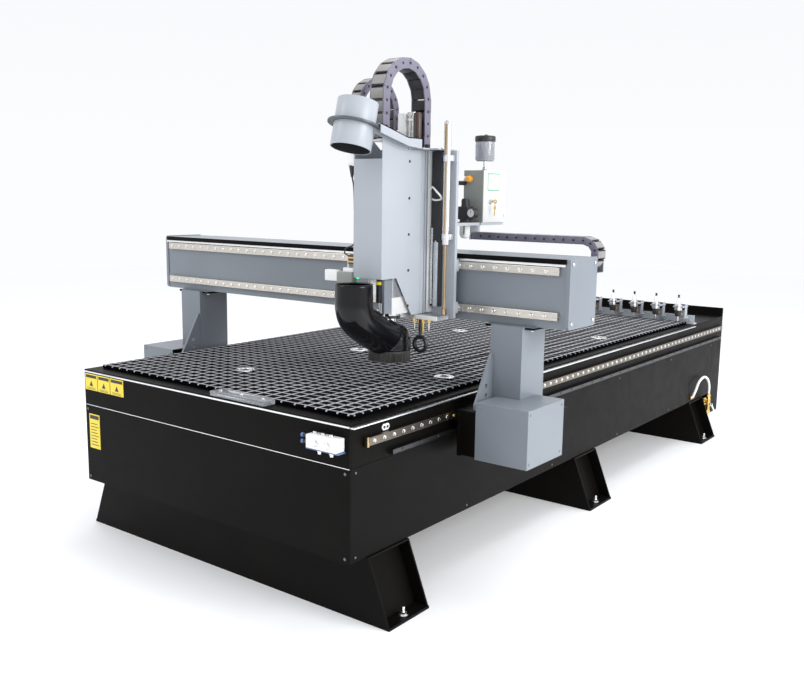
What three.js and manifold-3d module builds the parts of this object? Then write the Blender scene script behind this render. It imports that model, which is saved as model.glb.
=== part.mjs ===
// A gantry CNC router: a welded base with a vacuum table, a gantry that runs along it on two side rails,
// an X carriage on the front of the gantry beam, and a Z slide that carries the spindle and its dust hood.
// Millimetres, +Z up, +Y from the front panel to the rear, +X to the right. The origin is on the floor
// under the middle of the machine. Inside the file, y is measured from the front panel.
import * as THREE from 'three';
import { mergeVertices } from 'three/addons/utils/BufferGeometryUtils.js';
import Module from 'manifold-3d';

const wasm = await Module();
wasm.setup();

// ---------------------------------------------------------------- driving dimensions
const GAP = 0.3; // space kept between pieces that touch
const SHEET = 5; // panels of the base
const BASE = { halfWidth: 823, length: 4148, legTop: 270, panelTop: 640, deckBottom: 798, deckTop: 808 };
const LEG = { topHalf: 830, footHalf: 936, depth: 260, fronts: [104, 1828, 3536], plate: 8, recess: 70 };
const PLENUM = { halfWidth: 775, y0: 69, y1: 3538, top: 824, seam: 430 };
const RAIL = { y0: 90, y1: 4080, z0: 714, z1: 746, width: 20 };
const RACK = { y0: 235, y1: 4080, z0: 649, z1: 669, width: 20 };
const REAR = { y0: 3960, bottom: 116, top: 866, sheet: 4 };
const STATIONS = { count: 5, first: 750, pitch: 155, y: 3440, plateY: 3545, gripZ: 930 };
const TOOL = { flange: 25, groove: 22, cone: 16, nut: 21, bit: 6, bitBottom: 836, top: 1012 };

const BEAM = { halfLength: 1240, y0: 842, y1: 1082, z0: 1107, z1: 1392, wall: 8, endPlate: 18 };
const X_RAIL = { halfLength: 1215, topZ: 1325, bottomZ: 1142, height: 34, depth: 20 };
const UPRIGHT = { x0: 925, x1: 1076, y0: 791, y1: 985, wall: 6, flange: 12 };
const TRUCK = { x0: 868, plate: 22, y0: 628, y1: 985, z0: 562, shelf: 745, shelfThick: 14 };
const COVER = { x0: 963, x1: 1209, y0: 628, y1: 929, z0: 562, z1: 804, sheet: 4 };
const PINION = { radius: 20, width: 18, clearance: 0.5 };

const HEAD = { x: 542, halfWidth: 75, y0: 435, spindleY: 590, slideBack: 699, columnBack: 779 };
const SKIN = { sheet: 3, frontBottom: 1296, frontTop: 1780, sideTop: 1868, capZ: 1826, tipBottom: 1133 };
const CARRIAGE = { x0: 385, x1: 740, y0: 780, y1: 798, z0: 1115, z1: SKIN.capZ - GAP };
const RING = { y: 349, z: 1906, tilt: 14.2, radius: 82, wall: 4, half: 95, flange: 107, flangeThick: 6 };
const HOOD = {
  inletY: 352, radius: 77, wall: 4, top: 1280, bend: 1165, skirt: 92, skirtTop: 1060, bottom: 985,
};
const BRUSH = { outer: 90, inner: 66, bottom: 934 };
const BOX = { x0: 646, x1: 747, y0: 980, y1: 1160, z0: 1523, z1: 1750, wall: 3, door: 4 };
const SPRING = { x: 716, y: 744, radius: 15, bore: 7.5, rod: 6, bottom: 1432, top: 1945 };
const X_CHAIN = { y0: 1097, width: 76, thick: 35, radius: 75, centreZ: 1400, bendX: 1180, fixedX: -60 };
const Z_CHAIN = { x0: 498, width: 76, thick: 44, radius: 165, y0: 492, archZ: 2035, frontBottom: 1860 };

// ---------------------------------------------------------------- materials
function paint(color, roughness, metalness) {
  return new THREE.MeshStandardMaterial({ color, roughness, metalness });
}
const MATERIAL = {
  black: () => paint(0x1d1d20, 0.5, 0.3),
  grey: () => paint(0x9ea5ad, 0.45, 0.2),
  steel: () => paint(0xb8b8ba, 0.3, 0.9),
  aluminium: () => paint(0xc6c8cc, 0.35, 0.8),
  phenolic: () => paint(0x222225, 0.6, 0),
  plastic: () => paint(0x2a2a2c, 0.55, 0),
  gloss: () => paint(0x0c0c0e, 0.12, 0),
  bristle: () => paint(0x3a3836, 0.9, 0),
  brass: () => paint(0xb08a3c, 0.35, 0.9),
  white: () => paint(0xe6e6e6, 0.4, 0),
  orange: () => paint(0xd98218, 0.45, 0),
};

// ---------------------------------------------------------------- shape helpers
/** A box from its lowest to its highest corner. */
function block(x0, x1, y0, y1, z0, z1) {
  const shape = new THREE.BoxGeometry(x1 - x0, y1 - y0, z1 - z0);
  return shape.translate((x0 + x1) / 2, (y0 + y1) / 2, (z0 + z1) / 2);
}

/** A cylinder along one axis from start to end, centred at (a, b) on the other two, in x, y, z order. */
function rod(axis, a, b, start, end, radius, sides = 24) {
  const shape = new THREE.CylinderGeometry(radius, radius, end - start, sides);
  const middle = (start + end) / 2;
  if (axis === 'x') return shape.rotateZ(-Math.PI / 2).translate(middle, a, b);
  if (axis === 'y') return shape.translate(a, middle, b);
  return shape.rotateX(Math.PI / 2).translate(a, b, middle);
}

function outline(points) {
  return new THREE.Shape(points.map(([u, v]) => new THREE.Vector2(u, v)));
}

/** A shape drawn in the XY plane, raised from z0 to z1. */
function raise(shape, z0, z1) {
  return new THREE.ExtrudeGeometry(shape, { depth: z1 - z0, bevelEnabled: false, curveSegments: 10 })
    .translate(0, 0, z0);
}

/** A shape drawn in the XZ plane, from y0 to y1. */
function alongY(shape, y0, y1) {
  return raise(shape, -y1, -y0).rotateX(Math.PI / 2);
}

/** A shape drawn in the YZ plane, from x0 to x1. */
function alongX(shape, x0, x1) {
  return raise(shape, x0, x1).applyMatrix4(
    new THREE.Matrix4().set(0, 0, 1, 0, 1, 0, 0, 0, 0, 1, 0, 0, 0, 0, 0, 1));
}

/** A round body about a vertical line at (x, y); the profile is [radius, z] pairs from bottom to top. */
function turned(x, y, profile, sides = 32) {
  const points = profile.map(([radius, z]) => new THREE.Vector2(radius, z));
  return new THREE.LatheGeometry(points, sides).rotateX(Math.PI / 2).translate(x, y, 0);
}

/** A round bar along a straight line between two points. */
function bar(from, to, radius, sides = 24) {
  const a = new THREE.Vector3(...from);
  const b = new THREE.Vector3(...to);
  const shape = new THREE.CylinderGeometry(radius, radius, a.distanceTo(b), sides);
  const turn = new THREE.Quaternion().setFromUnitVectors(
    new THREE.Vector3(0, 1, 0), b.clone().sub(a).normalize());
  return shape.applyQuaternion(turn).translate(...a.add(b).multiplyScalar(0.5).toArray());
}

function toSolid(geometry) {
  if (geometry instanceof wasm.Manifold) return geometry;
  const bare = new THREE.BufferGeometry();
  bare.setAttribute('position', geometry.getAttribute('position').clone());
  if (geometry.index) bare.setIndex(geometry.index.clone());
  const merged = mergeVertices(bare, 1e-3);
  return new wasm.Manifold(new wasm.Mesh({
    numProp: 3,
    vertProperties: new Float32Array(merged.getAttribute('position').array),
    triVerts: new Uint32Array(merged.index.array),
  }));
}

function toGeometry(solid) {
  const mesh = solid.getMesh();
  const geometry = new THREE.BufferGeometry();
  geometry.setAttribute('position', new THREE.BufferAttribute(new Float32Array(mesh.vertProperties), 3));
  geometry.setIndex(new THREE.BufferAttribute(new Uint32Array(mesh.triVerts), 1));
  return geometry;
}

const join = (...shapes) => shapes.map(toSolid).reduce((a, b) => a.add(b));
const cut = (from, ...tools) => tools.map(toSolid).reduce((a, b) => a.subtract(b), toSolid(from));

const machine = new THREE.Group();
machine.position.y = -BASE.length / 2;

function piece(name, shape, material) {
  const geometry = shape instanceof wasm.Manifold ? toGeometry(shape) : shape;
  const mesh = new THREE.Mesh(geometry, MATERIAL[material]());
  mesh.name = name;
  machine.add(mesh);
}

/** Both sides of the machine: the right piece as built, and its mirror image on the left. */
function pair(name, shape, material) {
  const right = toSolid(shape);
  piece(`${name}_right`, right, material);
  piece(`${name}_left`, right.mirror([1, 0, 0]), material);
}

// ---------------------------------------------------------------- base
/** A cross beam of the base that splays out at its feet: two webs, a top, recessed ends and foot plates. */
function leg(y0) {
  const { topHalf, footHalf, depth, plate, recess } = LEG;
  const y1 = y0 + depth;
  const top = BASE.legTop - GAP;
  const web = outline([[-footHalf, 0], [footHalf, 0], [topHalf, top], [-topHalf, top]]);
  const end = outline([
    [footHalf - recess, 0], [footHalf - recess + plate, 0],
    [topHalf - recess + plate, top], [topHalf - recess, top],
  ]);
  const endPlate = toSolid(alongY(end, y0 + 1, y1 - 1));
  return join(
    alongY(web, y0, y0 + plate),
    alongY(web, y1 - plate, y1),
    block(-topHalf, topHalf, y0, y1, top - plate, top),
    block(footHalf - 150, footHalf, y0, y1, 0, 12),
    block(-footHalf, 150 - footHalf, y0, y1, 0, 12),
    endPlate,
    endPlate.mirror([1, 0, 0]),
  );
}

function base() {
  const { halfWidth, length, legTop, panelTop, deckBottom, deckTop } = BASE;
  const top = panelTop - GAP;
  ['front', 'middle', 'rear'].forEach((place, i) => piece(`leg_${place}`, leg(LEG.fronts[i]), 'black'));
  piece('lower_front_panel', block(-halfWidth, halfWidth, 0, SHEET, legTop, top), 'black');
  pair('lower_side_panel',
    block(halfWidth - SHEET, halfWidth, SHEET + GAP, REAR.y0 - GAP, legTop, top), 'black');
  piece('upper_front_panel', block(-halfWidth, halfWidth, 0, 12, panelTop, deckBottom - GAP), 'black');

  // Each rail beam is a channel, open towards the middle of the machine.
  const wall = 8;
  const inner = halfWidth - 100;
  const low = panelTop;
  const high = deckBottom - GAP;
  const channel = outline([
    [halfWidth, low], [halfWidth, high], [inner, high], [inner, high - wall],
    [halfWidth - wall, high - wall], [halfWidth - wall, low + wall], [inner, low + wall], [inner, low],
  ]);
  pair('rail_beam', alongY(channel, 12 + GAP, length - REAR.sheet - GAP), 'black');

  // The rear cabinet's back stands above the deck; its sides reach under the rail beams.
  const back = block(-halfWidth, halfWidth, length - REAR.sheet, length, REAR.bottom, REAR.top);
  const side = toSolid(block(halfWidth - REAR.sheet, halfWidth, REAR.y0, length - 1, REAR.bottom, top));
  const floor = block(-halfWidth, halfWidth, REAR.y0, length - 1, REAR.bottom, REAR.bottom + REAR.sheet);
  piece('rear_cabinet', join(back, side, side.mirror([1, 0, 0]), floor), 'black');

  const deckEnd = length - REAR.sheet - GAP;
  piece('table_deck', block(-halfWidth, halfWidth, 0, deckEnd, deckBottom, deckTop - GAP), 'black');
  const { halfWidth: edge, y0, y1, top: tableTop, seam } = PLENUM;
  piece('vacuum_plenum_left', block(-edge, seam - GAP, y0, y1, deckTop, tableTop), 'phenolic');
  piece('vacuum_plenum_right', block(seam, edge, y0, y1, deckTop, tableTop), 'phenolic');
}

/** The linear rail and the toothed rack that the gantry runs on, on each side of the base. */
function sideRails() {
  const x0 = BASE.halfWidth + GAP;
  pair('y_rail', block(x0, x0 + RAIL.width, RAIL.y0, RAIL.y1, RAIL.z0, RAIL.z1), 'steel');
  pair('y_rack', block(x0, x0 + RACK.width, RACK.y0, RACK.y1, RACK.z0, RACK.z1), 'steel');
}

/** The plate behind the table with one gripper block and fork per tool. */
function toolRack() {
  const { count, first, pitch, y, plateY, gripZ } = STATIONS;
  const last = first - pitch * (count - 1);
  const parts = [
    block(last - 85, first + 75, plateY, plateY + 8, BASE.deckTop, 868),
    block(last - 85, first + 75, plateY, plateY + 50, BASE.deckTop, BASE.deckTop + 8),
  ];
  const slot = TOOL.groove + 1;
  for (let i = 0; i < count; i += 1) {
    const x = first - pitch * i;
    parts.push(block(x - 24, x + 24, plateY - 40, plateY + 1, 845, gripZ + 14));
    const fork = block(x - 36, x + 36, y - 4, plateY - 20, gripZ - 4, gripZ + 4);
    parts.push(cut(fork, rod('z', x, y, gripZ - 10, gripZ + 10, slot),
      block(x - slot, x + slot, y - 20, y, gripZ - 10, gripZ + 10)));
  }
  piece('tool_rack', join(...parts), 'grey');
}

/** A tool holder: collet nut, grooved flange and taper, with its cutter below. */
function toolHolder(x, y) {
  const { flange, groove, cone, nut, bit, bitBottom, top } = TOOL;
  const z = STATIONS.gripZ;
  return turned(x, y, [
    [0, bitBottom], [bit, bitBottom], [bit, z - 62], [nut * 0.8, z - 62], [nut, z - 54], [nut, z - 24],
    [flange, z - 22], [flange, z - 6], [groove, z - 6], [groove, z + 6], [flange, z + 6], [flange, z + 14],
    [cone, z + 14], [cone * 0.62, top - 20], [6, top - 20], [6, top - 6], [3, top], [0, top],
  ], 14);
}

function toolHolders() {
  for (let i = 0; i < STATIONS.count; i += 1) {
    piece(`tool_holder_${i + 1}`, toolHolder(STATIONS.first - STATIONS.pitch * i, STATIONS.y), 'steel');
  }
}

/** The air inlet valve near the rear leg, its lever, and the hose that arches down to it. */
function airInlet() {
  const wall = BASE.halfWidth;
  const y = 3835;
  const x = wall + 38;
  piece('air_valve', join(
    block(wall + GAP, wall + 14, y - 26, y + 26, 205, 257),
    rod('x', y, 231, wall + 10, x + 12, 12, 16),
    rod('z', x, y, 170, 290, 13, 16),
    rod('z', x, y, 150, 175, 17, 6),
  ), 'brass');
  const lever = outline([
    [y - 9, 222], [y + 9, 222], [y + 92, 152], [y + 108, 124], [y + 98, 118], [y + 82, 138], [y - 9, 206],
  ]);
  piece('air_valve_handle', join(
    alongX(lever, x + 20, x + 24),
    rod('x', y, 218, x + 19, x + 32, 8, 6),
  ), 'white');
  const arch = new THREE.CatmullRomCurve3([
    new THREE.Vector3(x, y, 290 + GAP), new THREE.Vector3(x, y, 345),
    new THREE.Vector3(x - 2, y - 34, 398), new THREE.Vector3(x - 5, y - 105, 425),
    new THREE.Vector3(x - 8, y - 190, 404), new THREE.Vector3(x - 12, y - 238, 350),
    new THREE.Vector3(x - 22, y - 252, 312), new THREE.Vector3(wall + 9 + GAP, y - 256, 300),
  ]);
  const section = new THREE.Shape().absarc(0, 0, 9, 0, 2 * Math.PI);
  const hose = new THREE.ExtrudeGeometry(section, { steps: 22, extrudePath: arch, curveSegments: 5 });
  piece('air_hose', hose, 'white');
}

// ---------------------------------------------------------------- gantry
/** A truck that runs on the side rail: a bearing plate with two runner blocks, a shelf and a drive motor. */
function truck() {
  const { x0, plate, y0, y1, z0, shelf, shelfThick } = TRUCK;
  const railX = BASE.halfWidth + RAIL.width + 2 * GAP;
  const runner = (y) => block(railX, x0 + 1, y, y + 90, RAIL.z0 - 8, RAIL.z1 + 8);
  const pinionZ = RACK.z0 - PINION.radius - PINION.clearance;
  const motorY = (y0 + y1) / 2 - 30;
  return join(
    cut(block(x0, x0 + plate, y0 + 10, y1, z0, shelf + shelfThick),
      rod('x', motorY, pinionZ, x0 - 5, x0 + plate + 5, 14)),
    runner(y0 + 20),
    runner(y1 - 110),
    block(x0, COVER.x1 - COVER.sheet - 4, COVER.y0 + 8, y1, shelf, shelf + shelfThick),
    block(x0 + plate - 1, x0 + plate + 60, motorY - 45, motorY + 45, pinionZ - 40, shelf + 1),
    block(x0 + plate + 59, x0 + plate + 190, motorY - 40, motorY + 40, pinionZ - 38, pinionZ + 42),
  );
}

/** An upright: a square tube with a flange under the beam and a gusset in front. */
function upright() {
  const { x0, x1, y0, y1, wall, flange } = UPRIGHT;
  const bottom = TRUCK.shelf + TRUCK.shelfThick + GAP;
  const top = BEAM.z0 - GAP;
  const tube = cut(block(x0, x1, y0, y1, bottom, top),
    block(x0 + wall, x1 - wall, y0 + wall, y1 - wall, bottom - 10, top - flange));
  const gusset = outline([[y0 + 1, bottom], [y0 - 125, bottom], [y0 - 125, bottom + 22], [y0 - 10, 985],
    [y0 + 1, 985]]);
  const holes = [bottom + 52, bottom + 92].map((z) => rod('x', y0 - 48, z, x0 - 5, x0 + 20, 9, 14));
  return join(
    tube,
    cut(alongX(gusset, x0 + 2, x0 + 14), ...holes),
    block(x0 - 40, x1 + 40, BEAM.y0 - 30, BEAM.y1, top - flange, top),
  );
}

/** The sheet cover round the drive motor: open towards the base, its lid cut out round the upright and its gusset. */
function footCover() {
  const { x0, x1, y0, y1, z0, z1, sheet } = COVER;
  const room = 3;
  const shell = cut(block(x0, x1, y0, y1, z0, z1),
    block(x0 - 1, x1 - sheet, y0 + sheet, y1 - sheet, z0 + sheet, z1 - sheet));
  return cut(shell,
    block(x0 - 1, x1 - sheet, UPRIGHT.y0 - room, y1 + 1, TRUCK.shelf - 8, z1 - sheet),
    block(x0 - 1, UPRIGHT.x1 + room, UPRIGHT.y0 - room, y1 + 1, z1 - sheet - 1, z1 + 1),
    block(UPRIGHT.x0 - 1, UPRIGHT.x0 + 14 + room, UPRIGHT.y0 - 125 - room, UPRIGHT.y0, z1 - sheet - 1, z1 + 1));
}

function pinion() {
  const z = RACK.z0 - PINION.radius - PINION.clearance;
  const y = (TRUCK.y0 + TRUCK.y1) / 2 - 30;
  const x0 = BASE.halfWidth + 2;
  return join(
    rod('x', y, z, x0, x0 + PINION.width, PINION.radius, 32),
    rod('x', y, z, x0 + PINION.width - 1, TRUCK.x0 + TRUCK.plate - 1.5, 12, 20),
  );
}

function beamAndRails() {
  const { halfLength, y0, y1, z0, z1, wall, endPlate } = BEAM;
  piece('beam', cut(block(-halfLength, halfLength, y0, y1, z0, z1),
    block(-halfLength - 1, halfLength + 1, y0 + wall, y1 - wall, z0 + wall, z1 - wall)), 'grey');
  const r = 14;
  const plate = new THREE.Shape();
  plate.absarc(y1 - r, z1 + 4 - r, r, 0, Math.PI / 2);
  plate.absarc(y0 - 4 + r, z1 + 4 - r, r, Math.PI / 2, Math.PI);
  plate.absarc(y0 - 4 + r, z0 + r, r, Math.PI, 1.5 * Math.PI);
  plate.absarc(y1 - r, z0 + r, r, 1.5 * Math.PI, 2 * Math.PI);
  pair('beam_end_plate', alongX(plate, halfLength + GAP, halfLength + endPlate), 'grey');
  for (const [name, z] of [['x_rail_top', X_RAIL.topZ], ['x_rail_bottom', X_RAIL.bottomZ]]) {
    piece(name, block(-X_RAIL.halfLength, X_RAIL.halfLength, y0 - X_RAIL.depth, y0 - GAP,
      z, z + X_RAIL.height), 'steel');
  }
}

/** The tray behind the beam that the X chain lies in. */
function cableTray() {
  const { y0, width, radius, centreZ } = X_CHAIN;
  const floor = centreZ - radius - GAP;
  const end = BEAM.halfLength;
  return join(
    block(-end, end, BEAM.y1 + GAP, y0 + width + 9, floor - 3, floor),
    block(-end, end, y0 + width + 6, y0 + width + 9, floor - 1, 1386),
  );
}

function gantry() {
  pair('y_truck', truck(), 'black');
  pair('foot_cover', footCover(), 'grey');
  pair('upright', upright(), 'grey');
  pair('y_pinion', pinion(), 'steel');
  beamAndRails();
  piece('cable_tray', cableTray(), 'grey');
}

// ---------------------------------------------------------------- X carriage
/** The carriage plate with four runner blocks, and the shelf that reaches back over the beam. */
function carriagePlate() {
  const { x0, x1, y0, y1, z0, z1 } = CARRIAGE;
  const runnerBack = BEAM.y0 - X_RAIL.depth - GAP;
  const runner = (x, z) => block(x, x + 80, y1 - 1, runnerBack, z - 8, z + X_RAIL.height + 8);
  const parts = [block(x0, x1, y0, y1, z0, z1)];
  for (const z of [X_RAIL.topZ, X_RAIL.bottomZ]) {
    parts.push(runner(x0 + 5, z), runner(x1 - 85, z));
  }
  const shelfTop = BOX.z0 - GAP;
  const chainTop = X_CHAIN.centreZ + X_CHAIN.radius;
  parts.push(
    block(BOX.x0 - 40, BOX.x1, BOX.y0 - 8, BOX.y1, shelfTop - 12, shelfTop),
    block(BOX.x0 - 40, BOX.x0 - 20, y1 - 1, BOX.y0 - 7, shelfTop - 12, shelfTop),
    block(x1 - 30, x1, y1 - 1, BOX.y0 - 7, shelfTop - 12, shelfTop),
    block(BOX.x0 - 40, BOX.x0 - 32, X_CHAIN.y0, X_CHAIN.y0 + X_CHAIN.width,
      chainTop - X_CHAIN.thick, shelfTop - 11),
  );
  return join(...parts);
}

/** The fixed column of the Z axis: a channel with two long grooves in each side. */
function zColumn() {
  const x0 = HEAD.x - HEAD.halfWidth;
  const x1 = HEAD.x + HEAD.halfWidth;
  const y0 = HEAD.slideBack + 1;
  const y1 = HEAD.columnBack;
  const z0 = SKIN.tipBottom;
  const z1 = SKIN.capZ - GAP;
  const groove = (x, y) => block(x - 6, x + 6, y, y + 9, z0 - 1, z1 + 1);
  return cut(block(x0, x1, y0, y1, z0, z1), groove(x0, y0 + 22), groove(x1, y0 + 22),
    groove(x0, y0 + 52), groove(x1, y0 + 52));
}

/** The hose ring on its arm, with the cap plate that closes the column's top. */
function vacuumArm() {
  const { y, z, tilt, radius, wall, half, flange, flangeThick } = RING;
  const turn = THREE.MathUtils.degToRad(-tilt);
  const profile = [
    [radius - wall, -half], [radius, -half], [radius, -flangeThick / 2], [flange, -flangeThick / 2],
    [flange, flangeThick / 2], [radius, flangeThick / 2], [radius, half], [radius - wall, half],
    [radius - wall, -half],
  ];
  const ring = turned(0, 0, profile, 40).rotateX(turn).translate(HEAD.x, y, z);
  const armX0 = HEAD.x + HEAD.halfWidth + 1.5;
  const armX1 = armX0 + 40;
  const upper = [[y + 6, z + 6], [y + 200, 1869], [647, 1869]];
  const arm = outline([...upper, [647, SKIN.capZ], [y + 204, 1834], [y + 6, z - 30]]);
  const hollow = outline([[y - 10, z + 4], [y + 200, 1865], [643, 1865], [643, 1800], [y + 204, 1800],
    [y - 10, z - 60]]);
  const channel = cut(alongX(arm, armX0, armX1), alongX(hollow, armX0 + 4, armX1 - 4));
  const bore = rod('z', 0, 0, -half - 5, half + 5, radius - wall + 0.01, 40)
    .rotateX(turn).translate(HEAD.x, y, z);
  const cap = block(HEAD.x - HEAD.halfWidth, 698, HEAD.slideBack + 1, 826, SKIN.capZ, SKIN.capZ + 6);
  const tab = block(armX0, armX1, 640, HEAD.slideBack + 2, SKIN.capZ, SKIN.capZ + 6);
  return join(cut(channel, bore), ring, cap, tab);
}

/** The counterbalance: a cylinder fixed to the carriage, open below for its rod. */
function springBody() {
  const { x, y, radius, bore, bottom, top } = SPRING;
  const tube = turned(x, y, [
    [bore, bottom], [radius, bottom], [radius, top - 8], [radius - 6, top], [0, top], [0, top - 12],
    [bore, top - 12], [bore, bottom],
  ], 20);
  const clamps = [bottom + 20, 1780].map((z) => cut(
    block(x - 18, x + 18, y + radius - 6, CARRIAGE.y0 - GAP, z, z + 24),
    rod('z', x, y, z - 5, z + 30, radius - 2, 20)));
  return join(tube, ...clamps);
}

function controlBox() {
  const { x0, x1, y0, y1, z0, z1, wall, door } = BOX;
  piece('control_box', cut(block(x0, x1, y0, y1, z0, z1),
    block(x0 + wall, x1 + 1, y0 + wall, y1 - wall, z0 + wall, z1 - wall)), 'grey');
  const lockY = y0 + 55;
  const lockZ = z0 + 92;
  piece('control_box_door', cut(block(x1 + GAP, x1 + door, y0, y1, z0, z1),
    rod('x', lockY, lockZ, x1 - 2, x1 + door + 2, 8, 16)), 'white');
  piece('lock_key', join(
    rod('x', lockY, lockZ, x1 - 12, x1 + 12, 7.6, 16),
    block(x1 + 11, x1 + 34, lockY - 1.5, lockY + 1.5, lockZ - 8, lockZ + 8),
  ), 'brass');
  piece('selector_knob', join(
    rod('y', x0 + 34, z1 - 38, y0 - 26, y0 - GAP, 12, 18),
    rod('y', x0 + 34, z1 - 38, y0 - 12, y0 - 3, 15, 18),
  ), 'orange');
}

/** The lubricator cup on the control box's top. */
function lubricatorCup() {
  const x = (BOX.x0 + BOX.x1) / 2 + 4;
  const y = (BOX.y0 + BOX.y1) / 2 - 8;
  const z = BOX.z1 + GAP;
  return turned(x, y, [
    [0, z], [11, z], [11, z + 12], [7, z + 16], [7, z + 40], [40, z + 40], [43, z + 46], [43, z + 128],
    [46, z + 130], [46, z + 152], [30, z + 158], [0, z + 158],
  ], 20);
}

/** The air filter regulator in front of the box, with its clear bowl and gauge. */
function filterRegulator() {
  const y = BOX.y0 - 38;
  const x = BOX.x0 + 36;
  return join(
    block(x - 26, x + 26, y - 24, y + 24, 1535, 1592),
    turned(x, y, [[0, 1452], [14, 1454], [23, 1466], [23, 1536], [0, 1536]], 20),
    rod('z', x, y, 1591, 1622, 17, 20),
    rod('x', y, 1564, x + 25, x + 60, 10, 14),
    rod('y', x + 50, 1564, y - 34, y + 4, 20, 20),
    block(x - 12, x + 14, y + 23, BOX.y0 - GAP, 1540, 1560),
  );
}

/** The X chain: a run that leaves the carriage, a U bend, and the run that lies in the tray. */
function xChain() {
  const { y0, width, thick, radius, centreZ, bendX, fixedX } = X_CHAIN;
  const movingX = BOX.x0 - 32 + GAP;
  const chain = new THREE.Shape();
  chain.moveTo(fixedX, centreZ - radius);
  chain.absarc(bendX, centreZ, radius, -Math.PI / 2, Math.PI / 2);
  chain.lineTo(movingX, centreZ + radius);
  chain.lineTo(movingX, centreZ + radius - thick);
  chain.absarc(bendX, centreZ, radius - thick, Math.PI / 2, -Math.PI / 2, true);
  chain.lineTo(fixedX, centreZ - radius + thick);
  return alongY(chain, y0, y0 + width);
}

/** The loop of chain from the back of the column, over the top and down to the Z slide. */
function zChain() {
  const { x0, width, thick, radius, y0, archZ, frontBottom } = Z_CHAIN;
  const centre = y0 + radius;
  const loop = new THREE.Shape();
  loop.moveTo(y0, frontBottom);
  loop.absarc(centre, archZ, radius, Math.PI, 0, true);
  loop.lineTo(centre + radius, 1835);
  loop.lineTo(centre + radius - thick, 1835);
  loop.absarc(centre, archZ, radius - thick, 0, Math.PI);
  loop.lineTo(y0 + thick, frontBottom);
  return alongX(loop, x0, x0 + width);
}

function xCarriage() {
  piece('carriage_plate', carriagePlate(), 'grey');
  piece('z_column', zColumn(), 'grey');
  piece('vacuum_arm', vacuumArm(), 'grey');
  piece('counterbalance_body', springBody(), 'steel');
  controlBox();
  piece('lubricator_cup', lubricatorCup(), 'white');
  piece('filter_regulator', filterRegulator(), 'plastic');
  piece('x_chain', xChain(), 'plastic');
  piece('z_chain', zChain(), 'plastic');
}

// ---------------------------------------------------------------- Z slide
/** The folded sheet cover round the spindle. */
function spindleCover() {
  const { sheet, frontBottom, frontTop, sideTop, capZ, tipBottom } = SKIN;
  const x0 = HEAD.x - HEAD.halfWidth;
  const x1 = HEAD.x + HEAD.halfWidth;
  const back = HEAD.slideBack;
  const y0 = HEAD.y0;
  const top = capZ - 2;
  const side = outline([
    [y0, frontBottom], [535, frontBottom], [642, tipBottom], [back, tipBottom], [back, top], [605, top],
    [545, sideTop], [y0, sideTop],
  ]);
  const inside = block(x0 + sheet, x1 - sheet, y0 + sheet, back + 5, 1000, 2000);
  return cut(alongX(side, x0, x1), inside,
    block(x0 + sheet, x1 - sheet, y0 - 5, y0 + sheet + 1, frontTop, 2000));
}

/** The slide plate behind the spindle, with brackets to the counterbalance rod and the Z chain. */
function slidePlate() {
  const inset = HEAD.halfWidth - SKIN.sheet - GAP;
  const { x0, width, y0, frontBottom } = Z_CHAIN;
  const low = SKIN.tipBottom - 18;
  const chainEnd = frontBottom - GAP;
  return join(
    block(HEAD.x - inset, HEAD.x + inset, 668, HEAD.slideBack - GAP, low, SKIN.capZ - 12),
    block(HEAD.x, SPRING.x + 14, 672, SPRING.y + 14, low, SKIN.tipBottom - 2),
    block(x0, x0 + width, 668, 678, SKIN.capZ - 14, chainEnd),
    block(x0, x0 + width, y0, 678, chainEnd - 8, chainEnd),
  );
}

/** The spindle motor: a square body above a round nose. */
function spindleBody() {
  const x = HEAD.x;
  const y = HEAD.spindleY;
  return join(
    block(x - 66, x + 66, y - 66, y + 66, 1215, 1740),
    turned(x, y, [[0, 1120], [38, 1120], [42, 1126], [42, 1180], [50, 1190], [50, 1216], [0, 1216]], 28),
    block(x - 40, x + 40, y + 65, 668 - GAP, 1260, 1700),
  );
}

/** The spindle's shaft nose with a tool holder and cutter in it. */
function spindleNose() {
  return turned(HEAD.x, HEAD.spindleY, [
    [0, 962], [6, 962], [6, 1012], [17, 1012], [21, 1020], [21, 1052], [25, 1054], [25, 1084], [28, 1088],
    [28, 1120 - GAP], [0, 1120 - GAP],
  ], 18);
}

/** The dust hood: an upright inlet that sweeps back and down to a round skirt round the cutter. */
function dustHood() {
  const { inletY, radius, wall, top, bend, skirt, skirtTop, bottom } = HOOD;
  const x = HEAD.x;
  const y = HEAD.spindleY;
  const body = (inset) => join(
    rod('z', x, inletY, bend, top + inset * 2, radius - inset, 24),
    bar([x, inletY, bend], [x, y - 18 - inset, 1045 + inset / 2], radius - inset, 24),
    rod('z', x, y, bottom - inset * 2, skirtTop - inset, skirt - inset, 24),
    new THREE.SphereGeometry(radius - inset, 24, 10).rotateX(Math.PI / 2).translate(x, inletY, bend),
  );
  return cut(body(0), body(wall), rod('z', x, y, 1020, 1300, 46, 28));
}

function dustBrush() {
  const { outer, inner, bottom } = BRUSH;
  const z = HOOD.bottom - GAP;
  return turned(HEAD.x, HEAD.spindleY,
    [[inner, bottom], [outer - 4, bottom], [outer, z], [inner, z], [inner, bottom]], 36);
}

function springRod() {
  const { x, y, rod: radius, top } = SPRING;
  return join(
    rod('z', x, y, SKIN.tipBottom - 2 + GAP, top - 160, radius, 16),
    rod('z', x, y, SKIN.tipBottom - 2 + GAP, SKIN.tipBottom + 26, 11, 6),
  );
}

function zSlide() {
  piece('spindle_cover', spindleCover(), 'grey');
  piece('z_slide_plate', slidePlate(), 'aluminium');
  piece('spindle_body', spindleBody(), 'aluminium');
  piece('dust_hood', dustHood(), 'gloss');
  piece('dust_brush', dustBrush(), 'bristle');
  piece('counterbalance_rod', springRod(), 'steel');
  piece('spindle_nose', spindleNose(), 'steel');
}

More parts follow.
